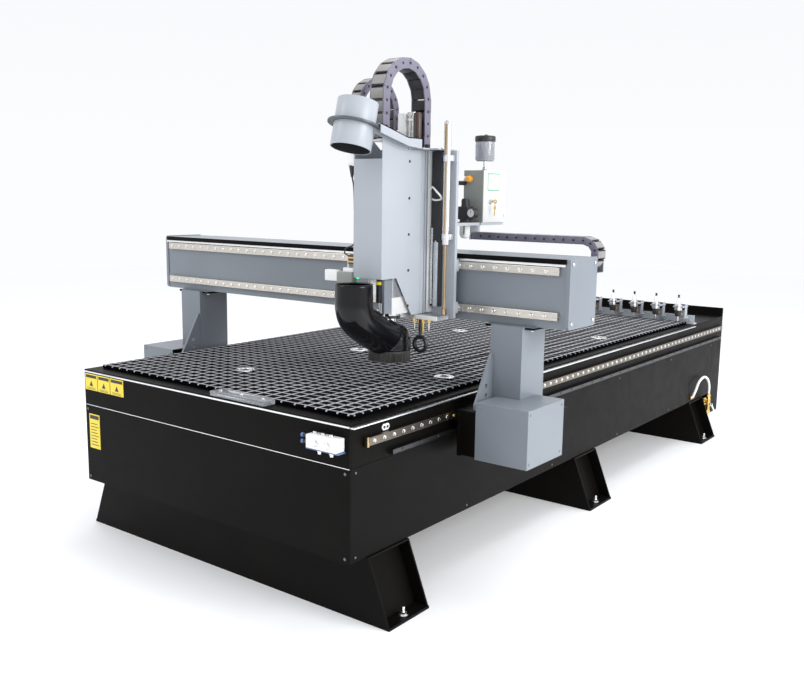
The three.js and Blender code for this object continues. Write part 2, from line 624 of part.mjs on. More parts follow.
base();
sideRails();
toolRack();
toolHolders();
airInlet();
gantry();
xCarriage();
zSlide();

export default machine;
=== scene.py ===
"""Looks of a gantry CNC router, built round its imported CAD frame. Metres, +Z up, +Y towards the rear."""

import math
import random

import bmesh
import bpy
from mathutils import Matrix, Vector


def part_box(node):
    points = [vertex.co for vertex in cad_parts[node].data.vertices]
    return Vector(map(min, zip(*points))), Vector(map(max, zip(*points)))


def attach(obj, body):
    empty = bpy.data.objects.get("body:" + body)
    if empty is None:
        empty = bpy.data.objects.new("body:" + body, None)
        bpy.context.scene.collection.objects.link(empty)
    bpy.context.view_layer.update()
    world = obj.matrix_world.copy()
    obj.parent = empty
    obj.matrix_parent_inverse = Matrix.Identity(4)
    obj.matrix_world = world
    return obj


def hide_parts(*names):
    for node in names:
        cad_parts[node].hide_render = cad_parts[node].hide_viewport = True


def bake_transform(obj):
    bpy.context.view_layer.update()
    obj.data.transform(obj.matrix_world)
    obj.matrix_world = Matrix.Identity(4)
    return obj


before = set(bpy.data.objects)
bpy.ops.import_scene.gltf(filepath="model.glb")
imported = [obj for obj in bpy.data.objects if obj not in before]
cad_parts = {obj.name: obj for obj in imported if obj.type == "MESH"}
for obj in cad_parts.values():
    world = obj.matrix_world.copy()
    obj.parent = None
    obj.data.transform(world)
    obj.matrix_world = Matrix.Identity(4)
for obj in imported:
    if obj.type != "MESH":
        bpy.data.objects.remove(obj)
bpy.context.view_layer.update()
random.seed(7)

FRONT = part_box("upper_front_panel")[0].y
X, Y, Z = Vector((1, 0, 0)), Vector((0, 1, 0)), Vector((0, 0, 1))


def at(x, y, z):
    """A point given in millimetres, with y counted from the base's front face."""
    return Vector((x / 1000, y / 1000 + FRONT, z / 1000))


# ---------------------------------------------------------------- materials
class Nodes:
    """A material's node tree, with short calls for the textures that every finish here is mixed from."""

    def __init__(self, name):
        self.material = bpy.data.materials.new(name)
        self.material.use_nodes = True
        self.tree = self.material.node_tree
        self.shader = self.tree.nodes["Principled BSDF"]
        self.coords = self.tree.nodes.new("ShaderNodeTexCoord").outputs["Object"]

    def link(self, source, target):
        self.tree.links.new(source, target)

    def set(self, **values):
        for key, value in values.items():
            self.shader.inputs[key.replace("_", " ")].default_value = value

    def noise(self, scale, stretch=(1, 1, 1), detail=3.0):
        mapping = self.tree.nodes.new("ShaderNodeMapping")
        mapping.inputs["Scale"].default_value = stretch
        self.link(self.coords, mapping.inputs["Vector"])
        texture = self.tree.nodes.new("ShaderNodeTexNoise")
        texture.inputs["Scale"].default_value = scale
        texture.inputs["Detail"].default_value = detail
        self.link(mapping.outputs["Vector"], texture.inputs["Vector"])
        return texture.outputs["Fac"]

    def ramp(self, value, low, high, start=0.3, end=0.7):
        node = self.tree.nodes.new("ShaderNodeValToRGB")
        node.color_ramp.elements[0].position = start
        node.color_ramp.elements[0].color = (*low, 1)
        node.color_ramp.elements[1].position = end
        node.color_ramp.elements[1].color = (*high, 1)
        self.link(value, node.inputs["Fac"])
        return node.outputs["Color"]

    def spread(self, value, low, high):
        node = self.tree.nodes.new("ShaderNodeMapRange")
        node.inputs["To Min"].default_value = low
        node.inputs["To Max"].default_value = high
        self.link(value, node.inputs["Value"])
        return node.outputs["Result"]

    def bump(self, value, strength, distance=0.001):
        node = self.tree.nodes.new("ShaderNodeBump")
        node.inputs["Strength"].default_value = strength
        node.inputs["Distance"].default_value = distance
        self.link(value, node.inputs["Height"])
        self.link(node.outputs["Normal"], self.shader.inputs["Normal"])


def shade(color, factor):
    """A colour made lighter or darker."""
    return tuple(min(1.0, c * factor) for c in color)


def finish_of(name, color, rough, metallic=0.0, grain=900, texture=0.12, mottle=0.08, **sockets):
    """A finish with a little colour drift, cloudy roughness and a fine grain in its bump."""
    n = Nodes(name)
    n.set(Metallic=metallic, **sockets)
    drift = n.noise(3.5)
    n.link(n.ramp(drift, shade(color, 1 - mottle), shade(color, 1 + mottle)), n.shader.inputs["Base Color"])
    n.link(n.spread(n.noise(14), rough * 0.8, rough * 1.2), n.shader.inputs["Roughness"])
    n.bump(n.noise(grain, detail=2.0), texture)
    return n.material


def brushed(name, color, rough, direction, **sockets):
    """Ground metal with fine scratches along one axis."""
    stretch = tuple(0.03 if axis == direction else 1.0 for axis in "xyz")
    n = Nodes(name)
    n.set(Metallic=1.0, **sockets)
    lines = n.noise(520, stretch, 4.0)
    n.link(n.ramp(lines, shade(color, 0.82), shade(color, 1.12)), n.shader.inputs["Base Color"])
    n.link(n.spread(n.noise(60, stretch), rough * 0.7, rough * 1.4), n.shader.inputs["Roughness"])
    n.bump(lines, 0.1, 0.0004)
    return n.material


M = {
    "black": finish_of("black_powder_coat", (0.0040, 0.0034, 0.0029), 0.42, grain=1300, texture=0.18,
                       mottle=0.2, Specular_IOR_Level=0.06),
    "grey": finish_of("grey_powder_coat", (0.20, 0.225, 0.255), 0.33, grain=1500, texture=0.1, mottle=0.05),
    # A darker copy of the grey powder coat: painted shade, used on the hose ring's flange.
    "dark_grey": finish_of("shaded_powder_coat", (0.085, 0.095, 0.11), 0.35, grain=1500, texture=0.1),
    "pale": finish_of("pale_powder_coat", (0.40, 0.43, 0.47), 0.33, grain=1500, texture=0.1, mottle=0.03),
    "box_grey": finish_of("box_side_paint", (0.27, 0.29, 0.27), 0.4, grain=1200, texture=0.14, mottle=0.12),
    "box_light": finish_of("box_door_paint", (0.64, 0.645, 0.64), 0.35, grain=1200, texture=0.1, mottle=0.02),
    "board": finish_of("board_face", (0.003, 0.003, 0.004), 0.34, grain=500, texture=0.1, mottle=0.3,
                       Specular_IOR_Level=0.001),
    "groove": finish_of("board_cut", (0.47, 0.47, 0.49), 0.6, grain=700, texture=0.3, mottle=0.12),
    "steel": brushed("rail_steel", (0.66, 0.62, 0.56), 0.26, "x"),
    # A darker copy of the rail steel: painted shade, for the side rails' weaker reflection.
    "steel_y": brushed("side_rail_steel", (0.22, 0.19, 0.155), 0.3, "y"),
    "rack_steel": brushed("rack_steel", (0.09, 0.09, 0.095), 0.35, "y"),
    "bright": brushed("bright_steel", (0.82, 0.82, 0.82), 0.16, "z"),
    "bolt": finish_of("bolt_steel", (0.78, 0.78, 0.77), 0.22, 1.0, grain=600, texture=0.06),
    "dull_bolt": finish_of("dull_bolt", (0.16, 0.155, 0.15), 0.35, 0.8, grain=600, texture=0.06),
    "bronze": brushed("bronzed_steel", (0.52, 0.38, 0.22), 0.2, "z"),
    "aluminium": brushed("satin_aluminium", (0.74, 0.76, 0.79), 0.3, "z"),
    "alu_x": brushed("edge_aluminium", (0.86, 0.87, 0.88), 0.25, "x"),
    "brass": finish_of("brass", (0.72, 0.50, 0.16), 0.25, 1.0, grain=700, texture=0.05),
    "plastic": finish_of("black_plastic", (0.018, 0.018, 0.02), 0.42, grain=1100, texture=0.15, mottle=0.1),
    "gloss": finish_of("gloss_plastic", (0.003, 0.003, 0.004), 0.17, grain=90, texture=0.01,
                       Specular_IOR_Level=0.32),
    "link": finish_of("chain_cover", (0.27, 0.262, 0.25), 0.42, grain=900, texture=0.2, mottle=0.2),
    "link_side": finish_of("chain_side", (0.17, 0.16, 0.215), 0.4, grain=900, texture=0.2, mottle=0.15),
    "bristle": finish_of("bristle", (0.03, 0.028, 0.026), 0.5, grain=400, texture=0.2, mottle=0.6),
    "white": finish_of("white_plastic", (0.83, 0.83, 0.82), 0.3, grain=600, texture=0.05, mottle=0.02),
    "orange": finish_of("orange_plastic", (0.80, 0.36, 0.03), 0.3, grain=600, texture=0.05),
    "yellow": finish_of("yellow_plate", (0.86, 0.66, 0.05), 0.4, grain=600, texture=0.05, mottle=0.03),
    "green": finish_of("green_print", (0.10, 0.42, 0.22), 0.4, grain=600, texture=0.03),
    "brown": finish_of("brown_plastic", (0.06, 0.035, 0.028), 0.35, grain=600, texture=0.05),
    "blue": finish_of("blue_fitting", (0.10, 0.16, 0.34), 0.35, grain=600, texture=0.05),
    "clear": finish_of("clear_bowl", (0.62, 0.64, 0.68), 0.06, grain=60, texture=0.02,
                       Transmission_Weight=0.75, IOR=1.45),
    "lamp": finish_of("green_lamp", (0.05, 0.8, 0.25), 0.3, grain=300, texture=0.02, Emission_Strength=2.0,
                      Emission_Color=(0.02, 1.0, 0.2, 1)),
}


# ---------------------------------------------------------------- shapes
class Build:
    """Collects boxes, rods, turned and swept shapes in one mesh, each with the current material index."""

    def __init__(self):
        self.bm = bmesh.new()
        self.index = 0

    def _mark(self, faces):
        for face in faces:
            face.material_index = self.index

    def box(self, lo, hi, bevel=0.0012, turn=None):
        lo, hi = Vector(lo), Vector(hi)
        size = hi - lo
        place = (turn or Matrix.Identity(4)) @ Matrix.Translation((lo + hi) / 2) @ Matrix.Diagonal((*size, 1))
        verts = bmesh.ops.create_cube(self.bm, size=1, matrix=place)["verts"]
        faces = {f for v in verts for f in v.link_faces}
        self._mark(faces)
        if bevel:
            edges = list({e for f in faces for e in f.edges})
            made = bmesh.ops.bevel(self.bm, geom=edges, offset=min(bevel, min(size) * 0.45), segments=2,
                                   affect="EDGES", profile=0.6)
            self._mark(made["faces"])
        return self

    def rod(self, start, end, radius, end_radius=None, sides=20):
        start, end = Vector(start), Vector(end)
        along = end - start
        place = Matrix.Translation((start + end) / 2) @ along.to_track_quat("Z", "Y").to_matrix().to_4x4()
        verts = bmesh.ops.create_cone(
            self.bm, cap_ends=True, segments=sides, radius1=radius,
            radius2=radius if end_radius is None else end_radius, depth=along.length, matrix=place)["verts"]
        self._mark({f for v in verts for f in v.link_faces})
        return self

    def hexagon(self, start, end, radius):
        return self.rod(start, end, radius, sides=6)

    def bolt(self, base, axis, radius, height):
        """A screw head with a bevelled rim."""
        base, axis = Vector(base), Vector(axis)
        rim = base + axis * height * 0.75
        return self.rod(base, rim, radius).rod(rim, base + axis * height, radius, radius * 0.82)

    def turned(self, base, profile, axis=Z, sides=32):
        """A round body about a line, from (radius, height) pairs, closed where they meet the axis."""
        turn = Vector(axis).to_track_quat("Z", "Y").to_matrix().to_4x4()
        place = Matrix.Translation(base) @ turn
        rings = []
        for radius, height in profile:
            if radius < 1e-6:
                rings.append([self.bm.verts.new(place @ Vector((0, 0, height)))])
                continue
            rings.append([
                self.bm.verts.new(place @ Vector((radius * math.cos(a), radius * math.sin(a), height)))
                for a in (2 * math.pi * i / sides for i in range(sides))
            ])
        for low, high in zip(rings, rings[1:]):
            self._skin(low, high, sides)
        return self

    def _skin(self, low, high, sides):
        for i in range(sides):
            j = (i + 1) % sides
            corners = [low[i % len(low)], low[j % len(low)], high[j % len(high)], high[i % len(high)]]
            unique = list(dict.fromkeys(corners))
            if len(unique) >= 3:
                self.bm.faces.new(unique).material_index = self.index

    def sweep(self, points, radii, sides=16, capped=True):
        """A round tube through the points, with a radius at each."""
        points = [Vector(p) for p in points]
        frames = path_frames(points)
        rings = []
        for point, (_, normal, side), radius in zip(points, frames, radii):
            rings.append([
                self.bm.verts.new(point + radius * (math.cos(a) * normal + math.sin(a) * side))
                for a in (2 * math.pi * i / sides for i in range(sides))
            ])
        for low, high in zip(rings, rings[1:]):
            self._skin(low, high, sides)
        if capped:
            self.bm.faces.new(list(reversed(rings[0]))).material_index = self.index
            self.bm.faces.new(rings[-1]).material_index = self.index
        return self

    def hose(self, points, radius, sides=12):
        line = smooth_line(points, 8)
        return self.sweep(line, [radius] * len(line), sides)

    def prism(self, outline, depth, place):
        """A flat outline of (u, v) pairs, pushed along w by depth; place maps (u, v, w) to the frame."""
        bottom = [self.bm.verts.new(place @ Vector((u, v, 0))) for u, v in outline]
        top = [self.bm.verts.new(place @ Vector((u, v, depth))) for u, v in outline]
        self.bm.faces.new(list(reversed(bottom))).material_index = self.index
        self.bm.faces.new(top).material_index = self.index
        self._skin(bottom, top, len(outline))
        return self

    def paint(self, index):
        self.index = index
        return self


def path_frames(points):
    """(tangent, normal, side) at each point, carried along the path without twist."""
    tangents = []
    for i in range(len(points)):
        before, after = points[max(i - 1, 0)], points[min(i + 1, len(points) - 1)]
        tangents.append((after - before).normalized())
    normal = tangents[0].orthogonal().normalized()
    frames = []
    for tangent in tangents:
        normal = (normal - tangent * normal.dot(tangent)).normalized()
        frames.append((tangent, normal, tangent.cross(normal)))
    return frames


def smooth_line(points, steps):
    """A Catmull-Rom curve through the points."""
    points = [Vector(p) for p in points]
    ends = [points[0] * 2 - points[1]] + points + [points[-1] * 2 - points[-2]]
    line = []
    for a, b, c, d in zip(ends, ends[1:], ends[2:], ends[3:]):
        for step in range(steps):
            t = step / steps
            line.append(0.5 * ((2 * b) + (c - a) * t + (2 * a - 5 * b + 4 * c - d) * t * t
                               + (3 * b - a - 3 * c + d) * t ** 3))
    line.append(points[-1])
    return line


def across_x(x, y=0.0, side=1):
    """Where a prism's outline of (y, z) pairs starts at x and grows along X, or along -X for side -1."""
    return Matrix(((0, 0, side, x), (1, 0, 0, y), (0, 1, 0, 0), (0, 0, 0, 1)))


def make(name, build, materials):
    """The built mesh as an object, smooth but for its sharp edges."""
    mesh = bpy.data.meshes.new(name)
    bmesh.ops.recalc_face_normals(build.bm, faces=build.bm.faces)
    build.bm.to_mesh(mesh)
    build.bm.free()
    for key in materials:
        mesh.materials.append(M[key])
    for polygon in mesh.polygons:
        polygon.use_smooth = True
    mesh.set_sharp_from_angle(angle=math.radians(38))
    obj = bpy.data.objects.new(name, mesh)
    bpy.context.scene.collection.objects.link(obj)
    return obj


def piece(name, build, materials, body, slot, *replaced):
    """An object that rides a body, with the CAD nodes it stands for hidden; its slot is not used."""
    obj = make(name, build, materials)
    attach(obj, body)
    if replaced:
        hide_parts(*replaced)
    return obj


# ---------------------------------------------------------------- CAD nodes that stay
def dress_nodes():
    """Gives the CAD nodes that stay their finish, and a small rounding on their edges."""
    finishes = {
        "black": ("leg_front", "leg_middle", "leg_rear", "lower_front_panel", "lower_side_panel_right",
                  "lower_side_panel_left", "upper_front_panel", "rail_beam_right", "rail_beam_left",
                  "rear_cabinet", "table_deck", "y_truck_right", "y_truck_left"),
        "grey": ("foot_cover_right", "foot_cover_left", "upright_right", "upright_left", "beam",
                 "beam_end_plate_right", "beam_end_plate_left", "cable_tray"),
        "pale": ("carriage_plate", "z_column", "tool_rack", "spindle_cover"),
        "box_grey": ("control_box",),
        "steel": ("x_rail_top", "x_rail_bottom"),
        "steel_y": ("y_rail_right", "y_rail_left"),
        "aluminium": ("z_slide_plate", "spindle_body"),
        "bronze": ("counterbalance_rod",),
    }
    for key, name in ((key, name) for key, names in finishes.items() for name in names):
        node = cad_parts[name]
        node.data.materials.clear()
        node.data.materials.append(M[key])
        weld = node.modifiers.new("weld", "WELD")
        weld.merge_threshold = 0.00005
        bevel = node.modifiers.new("edges", "BEVEL")
        bevel.width = 0.0014
        bevel.segments = 2
        bevel.limit_method = "ANGLE"
        bevel.angle_limit = math.radians(40)


# ---------------------------------------------------------------- base
def grooved_board(node, first_x, step):
    """A vacuum board: black islands between pale cut grooves, with a step from first_x to the next groove."""
    lo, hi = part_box(node)
    groove, depth, edge, pitch_y = 0.0072, 0.005, 0.016, 0.0503
    build = Build()
    build.paint(1).box(lo, (hi.x, hi.y, hi.z - depth), 0)
    build.paint(0)
    lines = [first_x]
    while lo.x + 0.01 < lines[-1] + step < hi.x - 0.01:
        lines.append(lines[-1] + step)
    xs = sorted(lines)
    ys = [lo.y + edge + pitch_y * i for i in range(int((hi.y - lo.y - edge) / pitch_y) + 1)]
    spans_x = list(zip([lo.x - groove / 2] + xs, xs + [hi.x + groove / 2]))
    spans_y = list(zip([lo.y - groove / 2] + ys, ys + [hi.y + groove / 2]))
    slope = 0.0012
    for x0, x1 in spans_x:
        for y0, y1 in spans_y:
            island(build, (x0 + groove / 2, y0 + groove / 2), (x1 - groove / 2, y1 - groove / 2),
                   hi.z - depth, hi.z, slope)
    for face in build.bm.faces:
        middle = face.calc_center_median()
        if min(middle.x - lo.x, hi.x - middle.x, middle.y - lo.y, hi.y - middle.y) < 0.0015:
            face.material_index = 0
    return build


def island(build, low, high, z0, z1, slope):
    """One raised island of a board, with sloping sides; slivers are left out."""
    if high[0] - low[0] < 0.004 or high[1] - low[1] < 0.004:
        return
    foot = [(low[0], low[1]), (high[0], low[1]), (high[0], high[1]), (low[0], high[1])]
    face = [(low[0] + slope, low[1] + slope), (high[0] - slope, low[1] + slope),
            (high[0] - slope, high[1] - slope), (low[0] + slope, high[1] - slope)]
    bottom = [build.bm.verts.new((x, y, z0)) for x, y in foot]
    top = [build.bm.verts.new((x, y, z1)) for x, y in face]
    build.bm.faces.new(top).material_index = 0
    for i in range(4):
        j = (i + 1) % 4
        build.bm.faces.new((bottom[i], bottom[j], top[j], top[i])).material_index = 1


def table():
    """The two grooved boards and the vacuum ports in them."""
    pitch = 0.0554
    left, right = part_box("vacuum_plenum_left"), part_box("vacuum_plenum_right")
    piece("grooved_board_left", grooved_board("vacuum_plenum_left", left[0].x + 0.018, pitch),
          ["board", "groove"], "base", "phenolic", "vacuum_plenum_left")
    piece("grooved_board_right", grooved_board("vacuum_plenum_right", right[1].x - 0.018, -pitch),
          ["board", "groove"], "base", "phenolic", "vacuum_plenum_right")
    ports = Build()
    for x, y in ((-176, 419), (-136, 1196), (619, 897), (-119, 2135), (646, 2461)):
        base = at(x, y, 824.2)
        ports.paint(0).turned(base, [(0.022, 0), (0.045, 0), (0.047, 0.002), (0.044, 0.004), (0.024, 0.004),
                                     (0.022, 0.0015)], sides=40)
        ports.paint(1).turned(base, [(0, 0.0008), (0.0222, 0.0008)], sides=40)
        for i in range(4):
            a = math.pi / 4 + i * math.pi / 2
            ports.paint(1).rod(base + Vector((0.034 * math.cos(a), 0.034 * math.sin(a), 0.0035)),
                base + Vector((0.034 * math.cos(a), 0.034 * math.sin(a), 0.0045)), 0.0035, sides=6)
    piece("vacuum_ports", ports, ["bolt", "plastic"], "base", "tool_steel")


def table_trim():
    """Bright edge strips round the deck and under the front panel, and the clear stop block at the front."""
    deck_lo, deck_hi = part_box("table_deck")
    trim = Build()
    trim.box((deck_lo.x, deck_lo.y - 0.002, deck_lo.z - 0.003), (deck_hi.x, deck_lo.y, deck_lo.z + 0.004),
        0.0008)
    for side in (1, -1):
        x0, x1 = sorted((side * deck_hi.x, side * (deck_hi.x + 0.02)))
        trim.box((x0, deck_lo.y + 0.002, deck_hi.z - 0.014), (x1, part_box("vacuum_plenum_left")[1].y,
            deck_hi.z - 0.008))
    panel_lo, panel_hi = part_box("upper_front_panel")
    trim.box((panel_lo.x, panel_lo.y - 0.0015, panel_lo.z - 0.001),
        (panel_hi.x, panel_lo.y, panel_lo.z + 0.0015), 0)
    piece("edge_strips", trim, ["alu_x"], "base", "anodised_aluminium")
    stop = Build()
    stop.box(at(61, 1, 808.5), at(381, 62, 829), 0.003)
    stop.paint(1)
    for x in (96, 221, 346):
        stop.bolt(at(x, 30, 829), Z, 0.008, 0.004)
    piece("stop_block", stop, ["clear", "bolt"], "base", "clear_bowl")


def front_fittings():
    """The white air manifold on the upper front panel, the blank plates, and the oval plate on the side."""
    block = Build()
    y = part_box("upper_front_panel")[0].y
    block.box(at(652, -52, 706), at(801, -1, 758), 0.004)
    block.paint(1)
    for x in (676, 716, 756):
        block.rod(at(x, -26, 757), at(x, -26, 763), 0.011).rod(at(x, -26, 763), at(x, -26, 768), 0.008)
    for x in (700, 760):
        block.turned(at(x, -53, 730), [(0, 0.004), (0.009, 0.004), (0.012, 0.001), (0.012, -0.002)], -Y)
        block.rod(at(x, -26, 706), at(x, -26, 692), 0.010).rod(at(x, -26, 694), at(x, -26, 684), 0.0075)
    block.paint(2)
    for z in (720, 744):
        block.rod(at(652, -28, z), at(636, -28, z), 0.009).rod(at(638, -28, z), at(620, -28, z), 0.0065)
    block.paint(3)
    for z in (720, 744):
        block.rod(at(622, -28, z), at(612, -28, z), 0.0085)
    block.box(at(645, -45, 700), at(805, -0.5, 705), 0.001)
    piece("air_manifold", block, ["white", "bolt", "plastic", "blue"], "base", "white_plastic")

    plates = Build()
    for x0, x1 in ((-816, -722), (-718, -626), (-622, -524)):
        plates.paint(0).box((x0 / 1000, y - 0.0012, 0.713), (x1 / 1000, y - 0.0002, 0.790), 0.0004)
        plates.paint(1).box((x0 / 1000 + 0.006, y - 0.0016, 0.771), (x1 / 1000 - 0.006, y - 0.0012, 0.785), 0)
        middle = (x0 + x1) / 2000
        plates.prism([(-0.014, -0.012), (0.014, -0.012), (0, 0.013)], 0.0004,
                     Matrix(((1, 0, 0, middle), (0, 0, -1, y - 0.0012), (0, 1, 0, 0.745), (0, 0, 0, 1))))
        plates.box((middle - 0.034, y - 0.0016, 0.7175), (middle + 0.034, y - 0.0012, 0.7195), 0)
        plates.box((middle - 0.034, y - 0.0016, 0.7235), (middle + 0.028, y - 0.0012, 0.7255), 0)
    plates.paint(0).box((-0.796, y - 0.0012, 0.432), (-0.716, y - 0.0002, 0.598), 0.0004)
    plates.paint(1).box((-0.790, y - 0.0016, 0.574), (-0.722, y - 0.0012, 0.592), 0)
    for i in range(8):
        z = 0.448 + i * 0.0145
        plates.box((-0.786, y - 0.0016, z), (-0.728 - 0.006 * (i % 3), y - 0.0012, z + 0.0035), 0)
    piece("blank_plates", plates, ["yellow", "plastic"], "base", "black_paint")

    side = Build()
    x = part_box("rail_beam_right")[1].x
    ends = [at(0, 201, 0).y, at(0, 221, 0).y]
    for y in ends:
        side.paint(0).turned((x, y, 0.762), [(0.0, 0.002), (0.012, 0.002), (0.0135, 0.0),
            (0.0135, -0.0003)], X)
        side.paint(1).rod((x + 0.002, y, 0.762), (x + 0.003, y, 0.762), 0.0055)
    side.paint(0).box((x, ends[0], 0.7495), (x + 0.0019, ends[1], 0.7745), 0.0004)
    piece("oval_plate", side, ["white", "plastic"], "base", "white_plastic")


def base_screws():
    """Screws in the corners and along the edges of the base's panels, and anchor bolts on the feet."""
    screws = Build()
    lo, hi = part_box("lower_front_panel")
    for x in (lo.x + 0.02, hi.x - 0.02):
        for z in (lo.z + 0.02, hi.z - 0.02):
            screws.bolt((x, lo.y, z), -Y, 0.006, 0.003)
    side_lo, side_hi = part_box("lower_side_panel_right")
    for side in (1, -1):
        x = side * side_hi.x
        for y in (side_lo.y + 0.03, *(side_lo.y + (side_hi.y - side_lo.y) * k / 5 for k in range(1, 5)),
                  side_hi.y - 0.03):
            for z in (side_lo.z + 0.02, side_hi.z - 0.02):
                screws.bolt((x, y, z), X * side, 0.005, 0.0025)
    piece("panel_screws", screws, ["dull_bolt"], "base", "black_paint")

    anchors = Build()
    for leg in ("leg_front", "leg_middle", "leg_rear"):
        lo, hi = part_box(leg)
        y = (lo.y + hi.y) / 2
        for side in (1, -1):
            x = side * (hi.x - 0.034)
            anchors.turned((x, y, 0.012), [(0, 0.003), (0.019, 0.003), (0.0205, 0.0015), (0.0205, 0)])
            anchors.hexagon((x, y, 0.015), (x, y, 0.027), 0.0145)
            anchors.turned((x, y, 0.027), [(0.0075, 0), (0.0075, 0.017), (0.006, 0.019), (0, 0.019)])
    piece("anchor_bolts", anchors, ["bolt"], "base", "tool_steel")


def side_drives():
    """Bolts in the side rails, and the racks with their teeth and screws."""
    bolts = Build()
    lo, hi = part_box("y_rail_right")
    z = (lo.z + hi.z) / 2
    for side in (1, -1):
        x = side * hi.x
        count = int((hi.y - lo.y) / 0.06)
        for i in range(count):
            y = lo.y + 0.03 + 0.06 * i
            bolts.paint(0).turned((x, y, z), [(0, 0.0012), (0.0045, 0.0012), (0.0075, 0.0022),
                (0.0085, 0.0)], X * side, sides=12)
        for y in (lo.y - 0.012, hi.y + 0.001):
            bolts.paint(1).box((min(side * (lo.x + 0.001), side * (hi.x + 0.001)), y, lo.z - 0.004),
                (max(side * (lo.x + 0.001), side * (hi.x + 0.001)), y + 0.011, hi.z + 0.004), 0.002)
    piece("side_rail_bolts", bolts, ["bolt", "bronze"], "base", "rail_steel")
    for name, side in (("right", 1), ("left", -1)):
        piece(f"toothed_rack_{name}", rack(f"y_rack_{name}", side), ["rack_steel", "plastic"], "base",
            "rail_steel", f"y_rack_{name}")


def rack(node, side):
    """A toothed rack with its teeth down, and screws on its outer face."""
    lo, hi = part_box(node)
    pitch, height = 0.00628, 0.0045
    x0, x1 = lo.x, hi.x
    build = Build()
    teeth = int((hi.y - lo.y) / pitch)
    line = []
    for i in range(teeth):
        y = lo.y + i * pitch
        line += [(y, lo.z + height), (y + pitch * 0.22, lo.z), (y + pitch * 0.5, lo.z),
                 (y + pitch * 0.72, lo.z + height)]
    line += [(hi.y, lo.z + height), (hi.y, hi.z), (lo.y, hi.z)]
    build.prism(line, x1 - x0, across_x(x0))
    outer = x1 if side > 0 else x0
    build.paint(1)
    for i in range(int((hi.y - lo.y) / 0.12)):
        y = lo.y + 0.06 + 0.12 * i
        build.turned((outer, y, lo.z + 0.0125), [(0, 0.0006), (0.003, 0.0006), (0.0045, 0.0016),
            (0.0048, -0.0005)], X * side, sides=12)
    return build


def rear_details():
    """Louvres and screws on the rear cabinet's back."""
    lo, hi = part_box("rear_cabinet")
    build = Build()
    for cx in (-0.45, 0.45):
        for i in range(8):
            z = lo.z + 0.12 + i * 0.022
            build.paint(1).box((cx - 0.11, hi.y, z), (cx + 0.11, hi.y + 0.004, z + 0.006), 0.0015)
    build.paint(0)
    for x in (lo.x + 0.02, -0.28, 0.28, hi.x - 0.02):
        for z in (lo.z + 0.02, (lo.z + hi.z) / 2, hi.z - 0.02):
            build.bolt((x, hi.y, z), Y, 0.005, 0.0025)
    piece("rear_louvres", build, ["plastic", "black"], "base", "black_paint")


def tool_rack_details():
    """Screws, fork covers and the sensor nub at each tool station."""
    lo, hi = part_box("tool_rack")
    build = Build()
    for i in range(1, 6):
        tool_lo, tool_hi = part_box(f"tool_holder_{i}")
        x = (tool_lo.x + tool_hi.x) / 2
        face = at(0, 3505, 0).y
        build.paint(0).box((x - 0.022, face - 0.003, 0.905), (x + 0.022, face, 0.942), 0.001)
        build.paint(3).box((x - 0.018, face - 0.002, 0.852), (x + 0.018, face, 0.902), 0.001)
        build.paint(2).box((x - 0.009, face - 0.014, 0.868), (x + 0.009, face - 0.003, 0.884), 0.003)
        build.paint(1).box((x - 0.026, face + 0.0005, 0.9445), (x + 0.026, face + 0.040, 0.950), 0.001)
        for dx in (-0.028, 0.028):
            build.bolt((x + dx, at(0, 3545, 0).y, 0.852), -Y, 0.005, 0.004)
    for x in (lo.x + 0.03, (lo.x + hi.x) / 2 + 0.02, hi.x - 0.03):
        build.paint(4).bolt((x, at(0, 3545, 0).y, 0.835), -Y, 0.006, 0.004)
    piece("tool_rack_fittings", build, ["plastic", "white", "orange", "grey", "bolt"], "base", "grey_paint")


def tool_holders():
    """The five tool holders: flange, cone, pull stud, collet nut and cutter."""
    for i in range(1, 6):
        lo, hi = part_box(f"tool_holder_{i}")
        x, y, grip = (lo.x + hi.x) / 2, (lo.y + hi.y) / 2, 0.930
        build = Build()
        build.paint(0).turned((x, y, 0), [
            (0.0, grip + 0.014), (0.025, grip + 0.014), (0.0252, grip + 0.012), (0.0252, grip + 0.0065),
            (0.022, grip + 0.006), (0.022, grip - 0.006), (0.0252, grip - 0.0065), (0.0252, grip - 0.021),
            (0.024, grip - 0.022), (0.0, grip - 0.022)])
        build.turned((x, y, 0), [(0, grip + 0.0135), (0.016, grip + 0.0135), (0.0100, hi.z - 0.021),
                                 (0.0092, hi.z - 0.020), (0, hi.z - 0.020)])
        build.paint(1).turned((x, y, 0), [(0, hi.z - 0.0205), (0.006, hi.z - 0.0205), (0.006, hi.z - 0.010),
            (0.0075, hi.z - 0.008), (0.0075, hi.z - 0.004), (0.005, hi.z), (0, hi.z)])
        build.turned((x, y, 0), [(0, grip - 0.0215), (0.0205, grip - 0.0215), (0.021, grip - 0.025),
                                 (0.021, grip - 0.050), (0.0168, grip - 0.062), (0, grip - 0.062)])
        build.paint(2).turned((x, y, 0), [(0, grip - 0.0615), (0.006, grip - 0.0615), (0.006, lo.z + 0.002),
                                          (0.004, lo.z), (0, lo.z)], sides=16)
        piece(f"tool_holder_{i}_fine", build, ["bright", "plastic", "bolt"], f"tool_{i}", "tool_steel",
              f"tool_holder_{i}")


